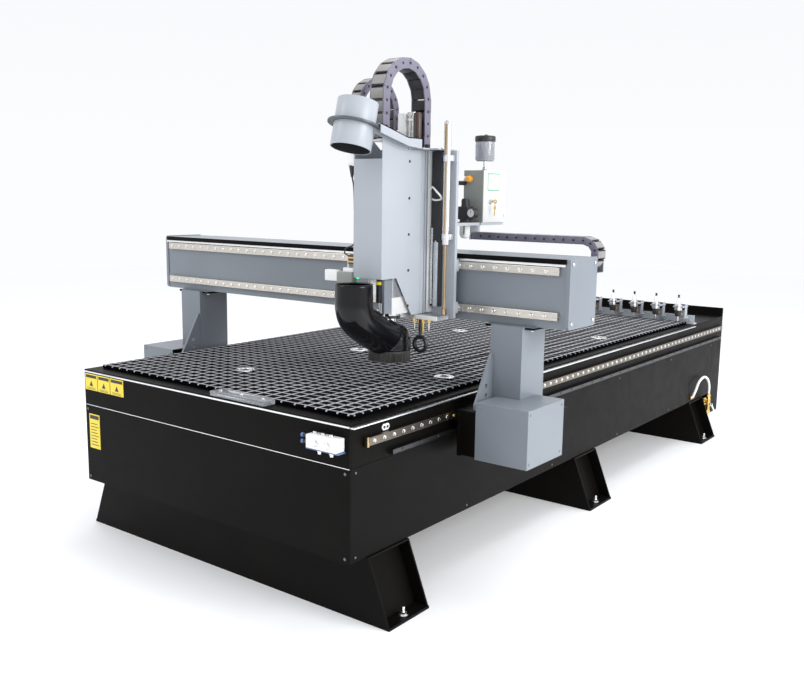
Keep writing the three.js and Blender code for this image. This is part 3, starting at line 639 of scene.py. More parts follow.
def air_inlet():
    """The brass air valve, its lever, and the hose that arches down to the panel."""
    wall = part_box("air_valve")[0].x
    x, y = 0.861, at(0, 3835, 0).y
    valve = Build()
    valve.paint(0).box((wall, y - 0.026, 0.205), (wall + 0.014, y + 0.026, 0.257), 0.002)
    valve.turned((wall + 0.01, y, 0.231), [(0, 0), (0.0145, 0), (0.0145, 0.008), (0.0115, 0.011),
        (0.0115, 0.038), (0, 0.038)], X)
    valve.turned((x, y, 0), [(0, 0.170), (0.013, 0.170), (0.013, 0.195), (0.0155, 0.200), (0.0155, 0.262),
                             (0.012, 0.268), (0.012, 0.290), (0, 0.290)])
    valve.hexagon((x, y, 0.150), (x, y, 0.175), 0.017)
    valve.hexagon((x, y, 0.272), (x, y, 0.286), 0.0155)
    piece("air_valve_fine", valve, ["brass"], "base", "brass", "air_valve")
    lever_lo, lever_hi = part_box("air_valve_handle")
    lever = Build()
    lever.prism([(-0.009, 0.206), (0.006, 0.208), (0.046, 0.171), (0.082, 0.138), (0.098, 0.118),
        (0.106, 0.121), (0.108, 0.126), (0.092, 0.152), (0.052, 0.187), (0.010, 0.223), (-0.004, 0.226),
        (-0.011, 0.218)], 0.004, across_x(lever_lo.x + 0.001, y))
    lever.paint(1).hexagon((lever_lo.x, y, 0.218), (lever_hi.x, y, 0.218), 0.008)
    piece("valve_lever_fine", lever, ["white", "bolt"], "valve_lever", "white_plastic", "air_valve_handle")
    hose = Build()
    hose.hose([(x, y, 0.2903), (x, y, 0.345), (x - 0.002, y - 0.034, 0.398), (x - 0.005, y - 0.105, 0.425),
               (x - 0.008, y - 0.190, 0.404), (x - 0.012, y - 0.238, 0.350), (x - 0.022, y - 0.252, 0.312),
               (wall + 0.009, y - 0.256, 0.300)], 0.0088, 18)
    hose.paint(1).turned((wall, y - 0.256, 0.300), [(0.0145, 0), (0.0145, 0.008), (0.0105, 0.012),
        (0.0090, 0.012)], X)
    piece("air_hose_fine", hose, ["white", "brass"], "base", "white_hose", "air_hose")


# ---------------------------------------------------------------- gantry
def gantry_details():
    """Bolts, strips and fittings on the beam, the end plates and the feet, and the drive pinions."""
    rails = Build()
    for node in ("x_rail_top", "x_rail_bottom"):
        lo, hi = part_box(node)
        for i in range(int((hi.x - lo.x) / 0.06)):
            x = lo.x + 0.03 + 0.06 * i
            rails.turned((x, lo.y, (lo.z + hi.z) / 2), [(0, 0.0012), (0.0045, 0.0012), (0.0075, 0.002),
                (0.0085, 0)], -Y, sides=12)
    piece("x_rail_bolts", rails, ["bolt"], "gantry", "rail_steel")

    beam_lo, beam_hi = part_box("beam")
    face = Build()
    rail_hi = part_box("x_rail_top")[1]
    face.paint(0).box((beam_lo.x, beam_lo.y - 0.012, rail_hi.z + 0.014),
        (beam_hi.x, beam_lo.y - 0.0003, beam_hi.z), 0.001)
    face.paint(1).box((beam_lo.x, beam_lo.y - 0.014, rail_hi.z + 0.003), (beam_hi.x, beam_lo.y - 0.0003,
                                                                     rail_hi.z + 0.0125), 0.001)
    piece("beam_face_strips", face, ["black", "alu_x"], "gantry", "rail_steel")

    plates = Build()
    for side in (1, -1):
        lo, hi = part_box("beam_end_plate_right" if side > 0 else "beam_end_plate_left")
        x = hi.x if side > 0 else lo.x
        for y in (lo.y + 0.024, hi.y - 0.024):
            for z in (lo.z + 0.024, hi.z - 0.024):
                plates.bolt((x, y, z), X * side, 0.008, 0.005)
    piece("end_plate_bolts", plates, ["bolt"], "gantry", "tool_steel")

    feet = Build()
    for side in (1, -1):
        name = "right" if side > 0 else "left"
        lo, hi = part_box(f"upright_{name}")
        cover_lo, cover_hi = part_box(f"foot_cover_{name}")
        feet.paint(0)
        for x in (lo.x + 0.018, hi.x - 0.018):
            for y in (lo.y + 0.165, lo.y + 0.3):
                feet.bolt((x, y, hi.z - 0.012), -Z, 0.007, 0.007)
        out = cover_hi.x if side > 0 else cover_lo.x
        for y in (cover_lo.y + 0.02, cover_hi.y - 0.02):
            for z in (cover_lo.z + 0.02, cover_hi.z - 0.02):
                feet.paint(1).bolt((out, y, z), X * side, 0.005, 0.0025)
        for x in (cover_lo.x + 0.02, cover_hi.x - 0.02):
            feet.bolt((x, cover_lo.y, cover_hi.z - 0.018), -Y, 0.005, 0.0025)
        truck_lo, truck_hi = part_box(f"y_truck_{name}")
        inner = side * 0.868
        for y in (truck_lo.y + 0.03, truck_lo.y + 0.075, truck_lo.y + 0.255, truck_lo.y + 0.3):
            for z in (0.722, 0.738):
                feet.paint(0).bolt((inner + side * 0.022, y, z), X * side, 0.005, 0.004)
        for y in (truck_lo.y + 0.006, truck_hi.y - 0.1):
            feet.paint(2).rod((inner - side * 0.009, y, 0.735), (inner - side * 0.009, y - 0.02, 0.735),
                0.005)
        front = truck_lo.y + 0.004
        x0, x1 = sorted((side * 0.870, side * (abs(cover_lo.x if side > 0 else cover_hi.x) - 0.001)))
        feet.paint(3).box((x0, front, cover_lo.z + 0.004), (x1, front + 0.006, 0.744), 0.002)
        # A black band round the top of the upright, just under the beam: painted shadow cast by the beam.
        feet.box((lo.x - 0.001, beam_lo.y - 0.031, hi.z - 0.0105),
            (hi.x + 0.001, hi.y + 0.001, hi.z - 0.0015), 0.001)
    piece("foot_bolts", feet, ["bolt", "grey", "brass", "black"], "gantry", "tool_steel")

    for name, side in (("right", 1), ("left", -1)):
        lo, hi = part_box(f"y_pinion_{name}")
        y, z = (lo.y + hi.y) / 2, (lo.z + hi.z) / 2
        near, far = (lo.x, hi.x) if side > 0 else (hi.x, lo.x)
        gear = Build()
        teeth = 20
        ring = []
        for i in range(teeth):
            for share, radius in ((0.0, 0.0165), (0.2, 0.0165), (0.38, 0.0199), (0.62, 0.0199),
                    (0.8, 0.0165)):
                a = 2 * math.pi * (i + share) / teeth
                ring.append((radius * math.cos(a), radius * math.sin(a)))
        place = across_x(near, y, side) @ Matrix.Translation((0, z, 0))
        gear.prism(ring, 0.018, place)
        gear.rod((near + side * 0.017, y, z), (far, y, z), 0.012)
        piece(f"pinion_{name}_fine", gear, ["bright"], f"{name}_pinion", "tool_steel", f"y_pinion_{name}")


def chain_links(build, line, width_axis, width, thick, pitch):
    """A cable chain along its middle line: side links with hinge pins, and covers, black inside the bend."""
    points = resample(line, pitch)
    across = Vector(width_axis)
    for i, (a, b) in enumerate(zip(points, points[1:])):
        middle = (a + b) / 2
        along = (b - a).normalized()
        up = along.cross(across).normalized()
        turn = Matrix((
            (along.x, across.x, up.x, middle.x), (along.y, across.y, up.y, middle.y),
            (along.z, across.z, up.z, middle.z), (0, 0, 0, 1)))
        half, w, t = (b - a).length / 2, width / 2, thick / 2
        stagger = 0.0012 * (i % 2)
        build.paint(1)
        for side in (1, -1):
            y0, y1 = sorted((side * (w - 0.007 - stagger), side * (w - stagger)))
            build.box((-half * 1.12, y0, -t), (half * 1.12, y1, t), 0.003, turn)
            pin = [turn @ Vector((half, side * (w - 0.003), 0)),
                turn @ Vector((half, side * (w + 0.0008), 0))]
            build.paint(2).rod(pin[0], pin[1], min(0.006, t * 0.3), sides=12)
            build.paint(1)
        build.paint(0)
        cover = half * 0.80
        build.box((-cover, -w + 0.006, -t - 0.0005), (cover, w - 0.006, -t + 0.004), 0.0015, turn)
        build.paint(2)
        build.box((-cover, -w + 0.006, t - 0.004), (cover, w - 0.006, t + 0.0005), 0.0015, turn)
        build.box((-half, -w + 0.009, -t + 0.005), (half, w - 0.009, -t + 0.009), 0, turn)


def resample(line, pitch):
    """Points along a line, evenly spaced by about the pitch."""
    lengths = [0.0]
    for a, b in zip(line, line[1:]):
        lengths.append(lengths[-1] + (b - a).length)
    count = max(2, round(lengths[-1] / pitch))
    points, k = [], 0
    for i in range(count + 1):
        want = lengths[-1] * i / count
        while k < len(lengths) - 2 and lengths[k + 1] < want:
            k += 1
        share = (want - lengths[k]) / max(lengths[k + 1] - lengths[k], 1e-9)
        points.append(line[k].lerp(line[k + 1], share))
    return points


def arc(centre, u, v, radius, start, end, steps=28):
    """Points on an arc in the plane of u and v."""
    centre, u, v = Vector(centre), Vector(u), Vector(v)
    return [centre + radius * (math.cos(a) * u + math.sin(a) * v)
            for a in (start + (end - start) * i / steps for i in range(steps + 1))]


def x_chain():
    """The long chain behind the beam, in three runs that stretch between the gantry and the carriage."""
    lo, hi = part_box("x_chain")
    width, thick, pitch = hi.y - lo.y, 0.033, 0.045
    y = (lo.y + hi.y) / 2
    centre_z, radius = (lo.z + hi.z) / 2, (hi.z - lo.z) / 2 - 0.0175
    bend_x = hi.x - (hi.z - lo.z) / 2
    moving_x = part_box("carriage_plate")[1].x - 0.1257
    def run(name, line, step):
        build = Build()
        chain_links(build, line, -Y, width, thick, step)
        chain = make(name, build, ["link", "link_side", "plastic"])
        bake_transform(chain)
        return chain

    upper_z, lower_z = centre_z + radius, centre_z - radius
    upper = run("x_chain_upper", [Vector((moving_x, y, upper_z)), Vector((bend_x, y, upper_z))], pitch)
    run("x_chain_bend", arc((bend_x, y, centre_z), X, Z, radius, math.pi / 2, -math.pi / 2), 0.040)
    run("x_chain_lower", [Vector((lo.x, y, lower_z)), Vector((bend_x, y, lower_z))], pitch)
    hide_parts("x_chain")


# ---------------------------------------------------------------- X carriage
def z_chains():
    """The large loop of chain over the head, and the smaller one on its left."""
    lo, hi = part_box("z_chain")
    thick = 0.044
    radius = (hi.y - lo.y) / 2 - thick / 2
    centre_y, arch_z = (lo.y + hi.y) / 2, hi.z - (hi.y - lo.y) / 2
    x = (lo.x + hi.x) / 2
    front = [Vector((x, lo.y + thick / 2, 1.862)), Vector((x, lo.y + thick / 2, arch_z))]
    loop = front + arc((x, centre_y, arch_z), Y, Z, radius, math.pi, 0)[1:]
    loop += [Vector((x, hi.y - thick / 2, 1.838))]
    big = Build()
    chain_links(big, loop, X, hi.x - lo.x, thick, 0.052)
    chain = make("z_chain_links", big, ["link", "link_side", "plastic"])
    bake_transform(chain)
    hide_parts("z_chain")

    small = Build()
    sx, y0, y1 = 0.420, at(0, 505, 0).y, at(0, 745, 0).y
    r = (y1 - y0) / 2
    line = [Vector((sx, y0, 1.885)), Vector((sx, y0, 1.985))]
    line += arc((sx, (y0 + y1) / 2, 1.985), Y, Z, r, math.pi, 0)[1:]
    line += [Vector((sx, y1, 1.835))]
    chain_links(small, line, X, 0.056, 0.034, 0.042)
    chain = make("small_chain_links", small, ["link", "link_side", "plastic"])
    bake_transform(chain)
    holder = Build()
    holder.box((sx - 0.03, y1 - 0.02, 1.822), (0.466, y1 + 0.02, 1.834), 0.001)
    holder.box((sx - 0.03, y1 - 0.02, 1.78), (sx - 0.026, y1 + 0.02, 1.824), 0.001)
    piece("small_chain_bracket", holder, ["black"], "x_carriage", "grey_paint")
    tip = Build()
    tip.box((sx - 0.03, y0 - 0.017, 1.872), (0.499, y0 + 0.017, 1.884), 0.001)
    piece("small_chain_foot", tip, ["black"], "z_slide", "grey_paint")


def vacuum_arm():
    """The hose ring, its flange and the folded arm that holds it over the head."""
    tilt = math.radians(-14.2)
    centre = at(542, 349, 1906)
    axis = Matrix.Rotation(tilt, 3, "X") @ Z
    build = Build()
    build.turned(centre, [(0.078, -0.095), (0.0815, -0.095), (0.082, -0.094), (0.082, -0.0032),
        (0.1065, -0.0032), (0.107, -0.0025), (0.107, 0.0025), (0.1065, 0.0032), (0.082, 0.0032),
        (0.082, 0.094), (0.0815, 0.095), (0.078, 0.095), (0.078, -0.095)], axis, 64)
    build.paint(2).turned(centre, [(0.0776, -0.0945), (0.0776, 0.0945)], axis, 64)
    # The ring's flange in the darker copy of the grey powder coat: painted shade.
    build.paint(3).turned(centre, [(0.0824, -0.0036), (0.1074, -0.0036), (0.1078, 0), (0.1074, 0.0036),
                                   (0.0824, 0.0036)], axis, 64)
    build.paint(0)
    arm_x, arm_width, sheet = 0.6185, 0.040, 0.004
    web = [(372, 1912), (549, 1869), (647, 1869), (647, 1826), (553, 1834), (372, 1876)]
    top = [(372, 1912), (549, 1869), (647, 1869), (647, 1865), (549, 1865), (372, 1908)]
    end = [(643, 1869), (647, 1869), (647, 1826), (643, 1826)]
    for outline, depth, shift in ((web, sheet, arm_width - sheet), (web, sheet, 0), (top, arm_width, 0),
                                  (end, arm_width, 0)):
        build.prism([(y / 1000, z / 1000) for y, z in outline], depth, across_x(arm_x + shift, FRONT))
    build.box(at(467, 700, 1826), at(698, 826, 1832), 0.0015)
    build.box(at(618.5, 640, 1826), at(658.5, 701, 1832), 0.001)
    build.paint(1)
    for px, py in ((480, 716), (604, 716), (480, 810), (604, 810), (680, 760)):
        build.bolt(at(px, py, 1832), Z, 0.006, 0.005)
    build.bolt(at(638.5, 660, 1832), Z, 0.006, 0.005)
    piece("vacuum_arm_fine", build, ["pale", "bolt", "plastic", "dark_grey"], "x_carriage", "grey_paint",
        "vacuum_arm")


def column_details():
    """Plates, the guide channel, small hoses and valves round the fixed column."""
    lo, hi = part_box("z_column")
    y = at(0, 780, 0).y
    side = Build()
    side.paint(0).box((hi.x + 0.004, y - 0.040, lo.z + 0.004), (hi.x + 0.009, y - 0.0003, hi.z - 0.001),
        0.001)
    side.paint(1).box((hi.x + 0.011, y - 0.020, lo.z + 0.03), (hi.x + 0.062, y - 0.0003, hi.z - 0.003), 0.002)
    side.paint(2).box((hi.x + 0.016, y - 0.028, lo.z + 0.04), (hi.x + 0.026, y - 0.020, 1.50), 0.001)
    side.paint(3).box((hi.x + 0.030, y - 0.026, lo.z + 0.03), (hi.x + 0.052, y - 0.020, 1.44), 0.001)
    side.paint(4)
    for i in range(6):
        side.bolt((hi.x + 0.041, y - 0.026, lo.z + 0.06 + 0.05 * i), -Y, 0.004, 0.002)
    side.paint(1)
    for z in (1.465, 1.425, 1.51):
        side.rod((hi.x + 0.0003, at(0, 752, 0).y, z), (hi.x + 0.0015, at(0, 752, 0).y, z), 0.007)
    piece("column_channel", side, ["box_light", "plastic", "alu_x", "aluminium", "bolt"], "x_carriage",
          "grey_paint")

    top = Build()
    top.paint(0).box(at(474, 716, 1832.3), at(512, 756, 1982), 0.004)
    top.box(at(470, 712, 1905), at(516, 760, 1912), 0.001)
    top.paint(1)
    for x in (524, 542):
        top.rod(at(x, 735, 1832.3), at(x, 735, 1972), 0.0065)
        top.hexagon(at(x, 735, 1832.3), at(x, 735, 1846), 0.010)
        top.rod(at(x, 735, 1972), at(x, 735, 1986), 0.011)
    top.hexagon(at(533, 735, 1950), at(533, 735, 1958), 0.020)
    top.paint(2).turned(at(567, 735, 1832.3), [(0.0155, 0), (0.0155, 0.145), (0.012, 0.152), (0, 0.152)])
    top.paint(1).turned(at(567, 735, 1832.3), [(0.017, 0), (0.017, 0.012), (0.0155, 0.014)])
    top.paint(3).rod(at(612, 745, 1832.3), at(612, 745, 1850), 0.012)
    piece("column_top_fittings", top, ["white", "bolt", "brown", "plastic"], "x_carriage", "white_plastic")

    hoses = Build()
    hoses.paint(0).hose([at(626, 752, 1664), at(650, 736, 1672), at(680, 726, 1652), at(694, 734, 1634),
                         at(684, 748, 1622), at(652, 756, 1618), at(632, 760, 1622)], 0.0042)
    hoses.hose([at(692, 800, 1640), at(690, 830, 1632), at(678, 862, 1600), at(664, 880, 1555),
        at(655, 880, 1500), at(652, 850, 1440), at(650, 812, 1404)], 0.0045)
    hoses.hose([at(656, 942, 1566), at(636, 938, 1568), at(632, 880, 1600), at(664, 806, 1640)], 0.0045)
    hoses.paint(1).rod(at(664, 799, 1640), at(664, 812, 1640), 0.009)
    hoses.rod(at(692, 799, 1640), at(692, 812, 1640), 0.009)
    piece("head_hoses", hoses, ["white", "bolt"], "x_carriage", "white_hose")


def counterbalance():
    """The gas cylinder beside the column, its two clamps, and a bronze band down its front face, which is a
    painted warm reflection.
    """
    x, y = 0.716, at(0, 744, 0).y
    build = Build()
    build.paint(0).turned((x, y, 0), [(0.0076, 1.432), (0.014, 1.432), (0.015, 1.433), (0.015, 1.935),
                                      (0.0145, 1.937), (0.009, 1.945), (0, 1.945)], sides=36)
    build.turned((x, y, 0), [(0.0076, 1.432), (0.0076, 1.9)], sides=24)
    build.paint(1)
    for z in (1.452, 1.78):
        build.turned((x, y, 0), [(0.015, z), (0.0175, z), (0.0175, z + 0.024), (0.015, z + 0.024)], sides=30)
        build.box((x - 0.018, y + 0.012, z), (x + 0.018, at(0, 779.5, 0).y, z + 0.024), 0.001)
        build.bolt((x, y - 0.017, z + 0.012), -Y, 0.0045, 0.004)
    piece("counterbalance_fine", build, ["bright", "aluminium"], "x_carriage", "tool_steel",
        "counterbalance_body")
    # Painted reflection: a bronze band on the cylinder body, kept only where its face turns to the front.
    painted_reflection = Build()
    painted_reflection.turned((x, y, 0), [(0.0153, 1.478), (0.0153, 1.778)], sides=72)
    painted_reflection.turned((x, y, 0), [(0.0153, 1.806), (0.0153, 1.932)], sides=72)
    away = []
    for face in painted_reflection.bm.faces:
        middle = face.calc_center_median()
        angle = math.degrees(math.atan2(middle.y - y, middle.x - x))
        if not -95 < angle < -58:
            away.append(face)
    bmesh.ops.delete(painted_reflection.bm, geom=away, context="FACES")
    piece("counterbalance_painted_reflection", painted_reflection, ["bronze"], "x_carriage", "tool_steel")


def control_box():
    """The box door with its label frame and lock, the key, the knob and the cable fittings."""
    lo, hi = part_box("control_box")
    door_lo, door_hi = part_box("control_box_door")
    door = Build()
    x = door_hi.x
    door.paint(0).box((door_lo.x, door_lo.y, door_lo.z), (x, door_hi.y, door_hi.z), 0.0012)
    z0, z1, y0, y1 = 1.662, 1.738, door_lo.y + 0.032, door_lo.y + 0.128
    door.paint(1).box((x, y0, z0), (x + 0.0006, y1, z1), 0)
    door.paint(2).box((x + 0.0006, y0 + 0.005, z0 + 0.005), (x + 0.0009, y1 - 0.005, z1 - 0.005), 0)
    lock_y, lock_z = at(0, 1035, 0).y, 1.615
    door.paint(3).turned((x, lock_y, lock_z), [(0.0085, 0), (0.0125, 0), (0.0125, 0.003), (0.0105, 0.005),
                                              (0.0085, 0.005)], X)
    for z in (door_lo.z + 0.03, door_hi.z - 0.03):
        door.rod((x + 0.001, door_hi.y - 0.004, z - 0.012), (x + 0.001, door_hi.y - 0.004, z + 0.012), 0.003)
    piece("door_fine", door, ["box_light", "green", "white", "bolt"], "box_door", "light_grey_paint",
          "control_box_door")

    key = Build()
    key.paint(0).turned((x, lock_y, lock_z), [(0, 0.012), (0.0075, 0.012), (0.0078, 0.004),
        (0.0078, -0.014), (0, -0.014)], X)
    key.paint(1).box((x + 0.011, lock_y - 0.001, lock_z - 0.004),
        (x + 0.022, lock_y + 0.001, lock_z + 0.004), 0.0004)
    key.turned((x + 0.026, lock_y + 0.0015, lock_z), [(0.004, 0), (0.009, 0), (0.009, -0.003),
        (0.004, -0.003), (0.004, 0)], Y, 24)
    key.turned((x + 0.026, lock_y + 0.001, lock_z - 0.013), [(0.0052, 0), (0.0062, 0), (0.0062, -0.001),
                                                           (0.0052, -0.001), (0.0052, 0)], X, 24)
    key.turned((x + 0.026, lock_y + 0.0015, lock_z - 0.028), [(0.003, 0), (0.0085, 0), (0.0085, -0.0022),
                                                            (0.003, -0.0022), (0.003, 0)], X, 24)
    key.box((x + 0.0235, lock_y - 0.0015, lock_z - 0.062), (x + 0.0258, lock_y + 0.0035, lock_z - 0.034),
        0.0004)
    piece("lock_key_fine", key, ["bolt", "brass"], "box_key", "brass", "lock_key")

    knob = Build()
    base = at(680, 980, 1712)
    knob.paint(0).turned(base, [(0, 0.026), (0.010, 0.026), (0.012, 0.024), (0.012, 0.012), (0.015, 0.011),
                                (0.015, 0.004), (0.012, 0.003), (0.012, 0.0003), (0, 0.0003)], -Y, 30)
    for i in range(14):
        a = 2 * math.pi * i / 14
        offset = Vector((0.0149 * math.cos(a), 0, 0.0149 * math.sin(a)))
        knob.rod(base + offset + Vector((0, -0.0105, 0)), base + offset + Vector((0, -0.0045, 0)), 0.0012,
            sides=6)
    knob.paint(1).box((base.x - 0.0012, base.y - 0.0268, base.z + 0.001), (base.x + 0.0012, base.y - 0.0255,
                                                                       base.z + 0.010), 0)
    piece("knob_fine", knob, ["orange", "white"], "box_knob", "orange_plastic", "selector_knob")

    fittings = Build()
    fittings.paint(0)
    for y in (lo.y + 0.03, hi.y - 0.03):
        for z in (lo.z + 0.03, hi.z - 0.03):
            fittings.bolt((lo.x, y, z), -X, 0.005, 0.003)
    fittings.paint(1).rod(at(652, 979, 1712), at(652, 905, 1712), 0.012).rod(at(652, 915, 1712),
        at(652, 880, 1712), 0.009)
    fittings.paint(2).rod(at(652, 979, 1694), at(652, 925, 1694), 0.010)
    piece("box_fittings", fittings, ["bolt", "white", "plastic"], "x_carriage", "dark_grey_paint")


def lubricator():
    """The round cup on the control box, with its clear bowl and black cap."""
    lo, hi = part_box("lubricator_cup")
    base = Vector(((lo.x + hi.x) / 2, (lo.y + hi.y) / 2, lo.z))
    cup = Build()
    cup.paint(0).turned(base, [(0, 0), (0.0105, 0), (0.011, 0.001), (0.011, 0.012), (0.0072, 0.015),
        (0.0072, 0.041), (0.0, 0.041)])
    cup.paint(1).turned(base, [(0, 0.0402), (0.036, 0.0402), (0.0425, 0.046), (0.043, 0.050), (0.043, 0.128),
                               (0.0405, 0.128), (0.0405, 0.050), (0.036, 0.044), (0, 0.044)], sides=48)
    cup.paint(2).turned(base, [(0, 0.126), (0.0445, 0.126), (0.046, 0.130), (0.046, 0.146), (0.043, 0.151),
                               (0.030, 0.153), (0, 0.154)], sides=48)
    cup.turned(base + Vector((0.004, 0, 0.150)), [(0, 0), (0.008, 0), (0.008, 0.006), (0.005, 0.008),
        (0, 0.008)])
    cup.paint(3).turned(base, [(0, 0.046), (0.030, 0.046), (0.030, 0.092), (0.008, 0.094), (0.008, 0.126),
        (0, 0.126)])
    cup.paint(0)
    for i in range(3):
        a = 0.6 + i * 2 * math.pi / 3
        p = base + Vector((0.037 * math.cos(a), 0.037 * math.sin(a), 0))
        cup.rod(p + Z * 0.047, p + Z * 0.128, 0.0022, sides=10)
    piece("lubricator_fine", cup, ["bolt", "clear", "plastic", "bright"], "x_carriage", "clear_bowl",
        "lubricator_cup")


def regulator():
    """The air regulator beside the control box: body, knob, bowl and gauge."""
    x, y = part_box("filter_regulator")[0].x + 0.026, at(0, 942, 0).y
    part = Build()
    part.paint(0).box((x - 0.026, y - 0.024, 1.535), (x + 0.026, y + 0.024, 1.592), 0.005)
    part.turned((x, y, 0), [(0, 1.626), (0.014, 1.626), (0.017, 1.622), (0.017, 1.600), (0.019, 1.598),
        (0.019, 1.591), (0, 1.591)])
    for i in range(16):
        a = 2 * math.pi * i / 16
        part.rod((x + 0.017 * math.cos(a), y + 0.017 * math.sin(a), 1.601),
                 (x + 0.017 * math.cos(a), y + 0.017 * math.sin(a), 1.620), 0.0012, sides=6)
    part.paint(1).turned((x, y, 0), [(0.0235, 1.536), (0.0235, 1.470), (0.017, 1.456), (0.006, 1.452),
        (0, 1.452)])
    part.paint(0).turned((x, y, 0), [(0.0245, 1.537), (0.0245, 1.522), (0.0237, 1.520)])
    part.box((x + 0.010, y - 0.0258, 1.470), (x + 0.014, y - 0.0225, 1.520), 0.0005)
    part.paint(2).rod((x + 0.025, y, 1.564), (x + 0.040, y, 1.564), 0.010)
    part.paint(0).turned((x + 0.050, y + 0.004, 1.564), [(0, 0), (0.0195, 0), (0.0205, 0.002),
        (0.0205, 0.036), (0.018, 0.0385), (0.0178, 0.0365)], -Y, 36)
    part.paint(3).turned((x + 0.050, y + 0.004, 1.564), [(0, 0.0366), (0.0180, 0.0366)], -Y, 36)
    part.paint(0).box((x + 0.049, y - 0.0332, 1.562), (x + 0.051, y - 0.0328, 1.576), 0)
    part.box((x - 0.012, y + 0.023, 1.540), (x + 0.014, y + 0.0377, 1.560), 0.001)
    piece("regulator_fine", part, ["plastic", "white", "bolt", "box_light"], "x_carriage", "black_plastic",
          "filter_regulator")


# ---------------------------------------------------------------- Z slide
def cover_details():
    """Screws of the spindle cover, the small parts under it, and the status lamp."""
    lo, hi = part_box("spindle_cover")
    screws = Build()
    y = at(0, 615, 0).y
    for i in range(5):
        z = 1.775 - 0.150 * i
        for side, x in ((1, hi.x), (-1, lo.x)):
            screws.bolt((x, y, z), X * side, 0.0055, 0.0028)
    piece("cover_screws", screws, ["plastic"], "z_slide", "tool_steel")

    inner = Build()
    inner.paint(0).box(at(482, 470, 1296), at(602, 640, 1304), 0.001)
    inner.turned(at(573, 478, 1196), [(0, 0), (0.014, 0), (0.015, 0.002), (0.015, 0.075), (0.013, 0.077),
                                              (0.013, 0.098), (0, 0.098)], Z)
    inner.paint(1).turned(at(573, 478, 1270), [(0.0155, 0), (0.0165, 0.001), (0.0165, 0.013),
        (0.0155, 0.014)], Z)
    inner.paint(2).box(at(590, 470, 1150), at(606, 520, 1290), 0.002)
    inner.paint(3).rod(at(575, 478, 1100), at(575, 478, 1197), 0.005).rod(at(590, 488, 1105),
        at(590, 488, 1160), 0.004)
    piece("spindle_small_parts", inner, ["plastic", "yellow", "grey", "bolt"], "z_slide", "black_plastic")

    lamp = Build()
    lamp.turned(at(478, 452, 1291), [(0, 0), (0.005, 0), (0.006, 0.003), (0.006, 0.006), (0, 0.006)], Z, 16)
    piece("status_lamp", lamp, ["lamp"], "z_slide", "orange_plastic")


def left_sensors():
    """The connector, wires and sensor boxes on the left of the head."""
    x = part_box("spindle_cover")[0].x
    part = Build()
    y = at(0, 444, 0).y
    part.paint(0).box((x - 0.036, y - 0.006, 1.752), (x - 0.002, y + 0.016, 1.800), 0.003)
    part.paint(1).turned((x - 0.020, y + 0.004, 1.752), [(0.014, 0.002), (0.013, 0), (0.005, -0.045),
        (0, -0.045)], Z, 20)
    part.hose([(x - 0.020, y + 0.004, 1.709), (x - 0.010, y + 0.004, 1.660), (x - 0.006, y + 0.004, 1.55),
        (x - 0.006, y + 0.004, 1.46), (x - 0.012, y + 0.004, 1.43), (x - 0.050, y + 0.004, 1.415),
        (x - 0.058, y + 0.004, 1.395), (x - 0.030, y + 0.004, 1.380), (x - 0.016, y + 0.004, 1.360)], 0.0032)
    part.paint(0).box((x - 0.150, y - 0.020, 1.276), (x - 0.082, y + 0.010, 1.322), 0.004)
    part.paint(2).box((x - 0.082, y - 0.018, 1.268), (x - 0.0015, y + 0.016, 1.316), 0.004)
    part.paint(0).box((x - 0.060, y - 0.006, 1.316), (x - 0.004, y + 0.012, 1.334), 0.003)
    part.paint(3).box((x - 0.034, y - 0.004, 1.350), (x - 0.0015, y + 0.014, 1.390), 0.002)
    part.paint(4).box((x - 0.033, y - 0.0052, 1.358), (x - 0.003, y - 0.004, 1.364), 0)
    part.box((x - 0.033, y - 0.0052, 1.374), (x - 0.003, y - 0.004, 1.380), 0)
    part.paint(5).rod((x - 0.036, y + 0.002, 1.334), (x - 0.036, y + 0.002, 1.372), 0.004)
    piece("left_sensors", part, ["white", "plastic", "box_grey", "brown", "brass", "bolt"], "z_slide",
        "white_plastic")


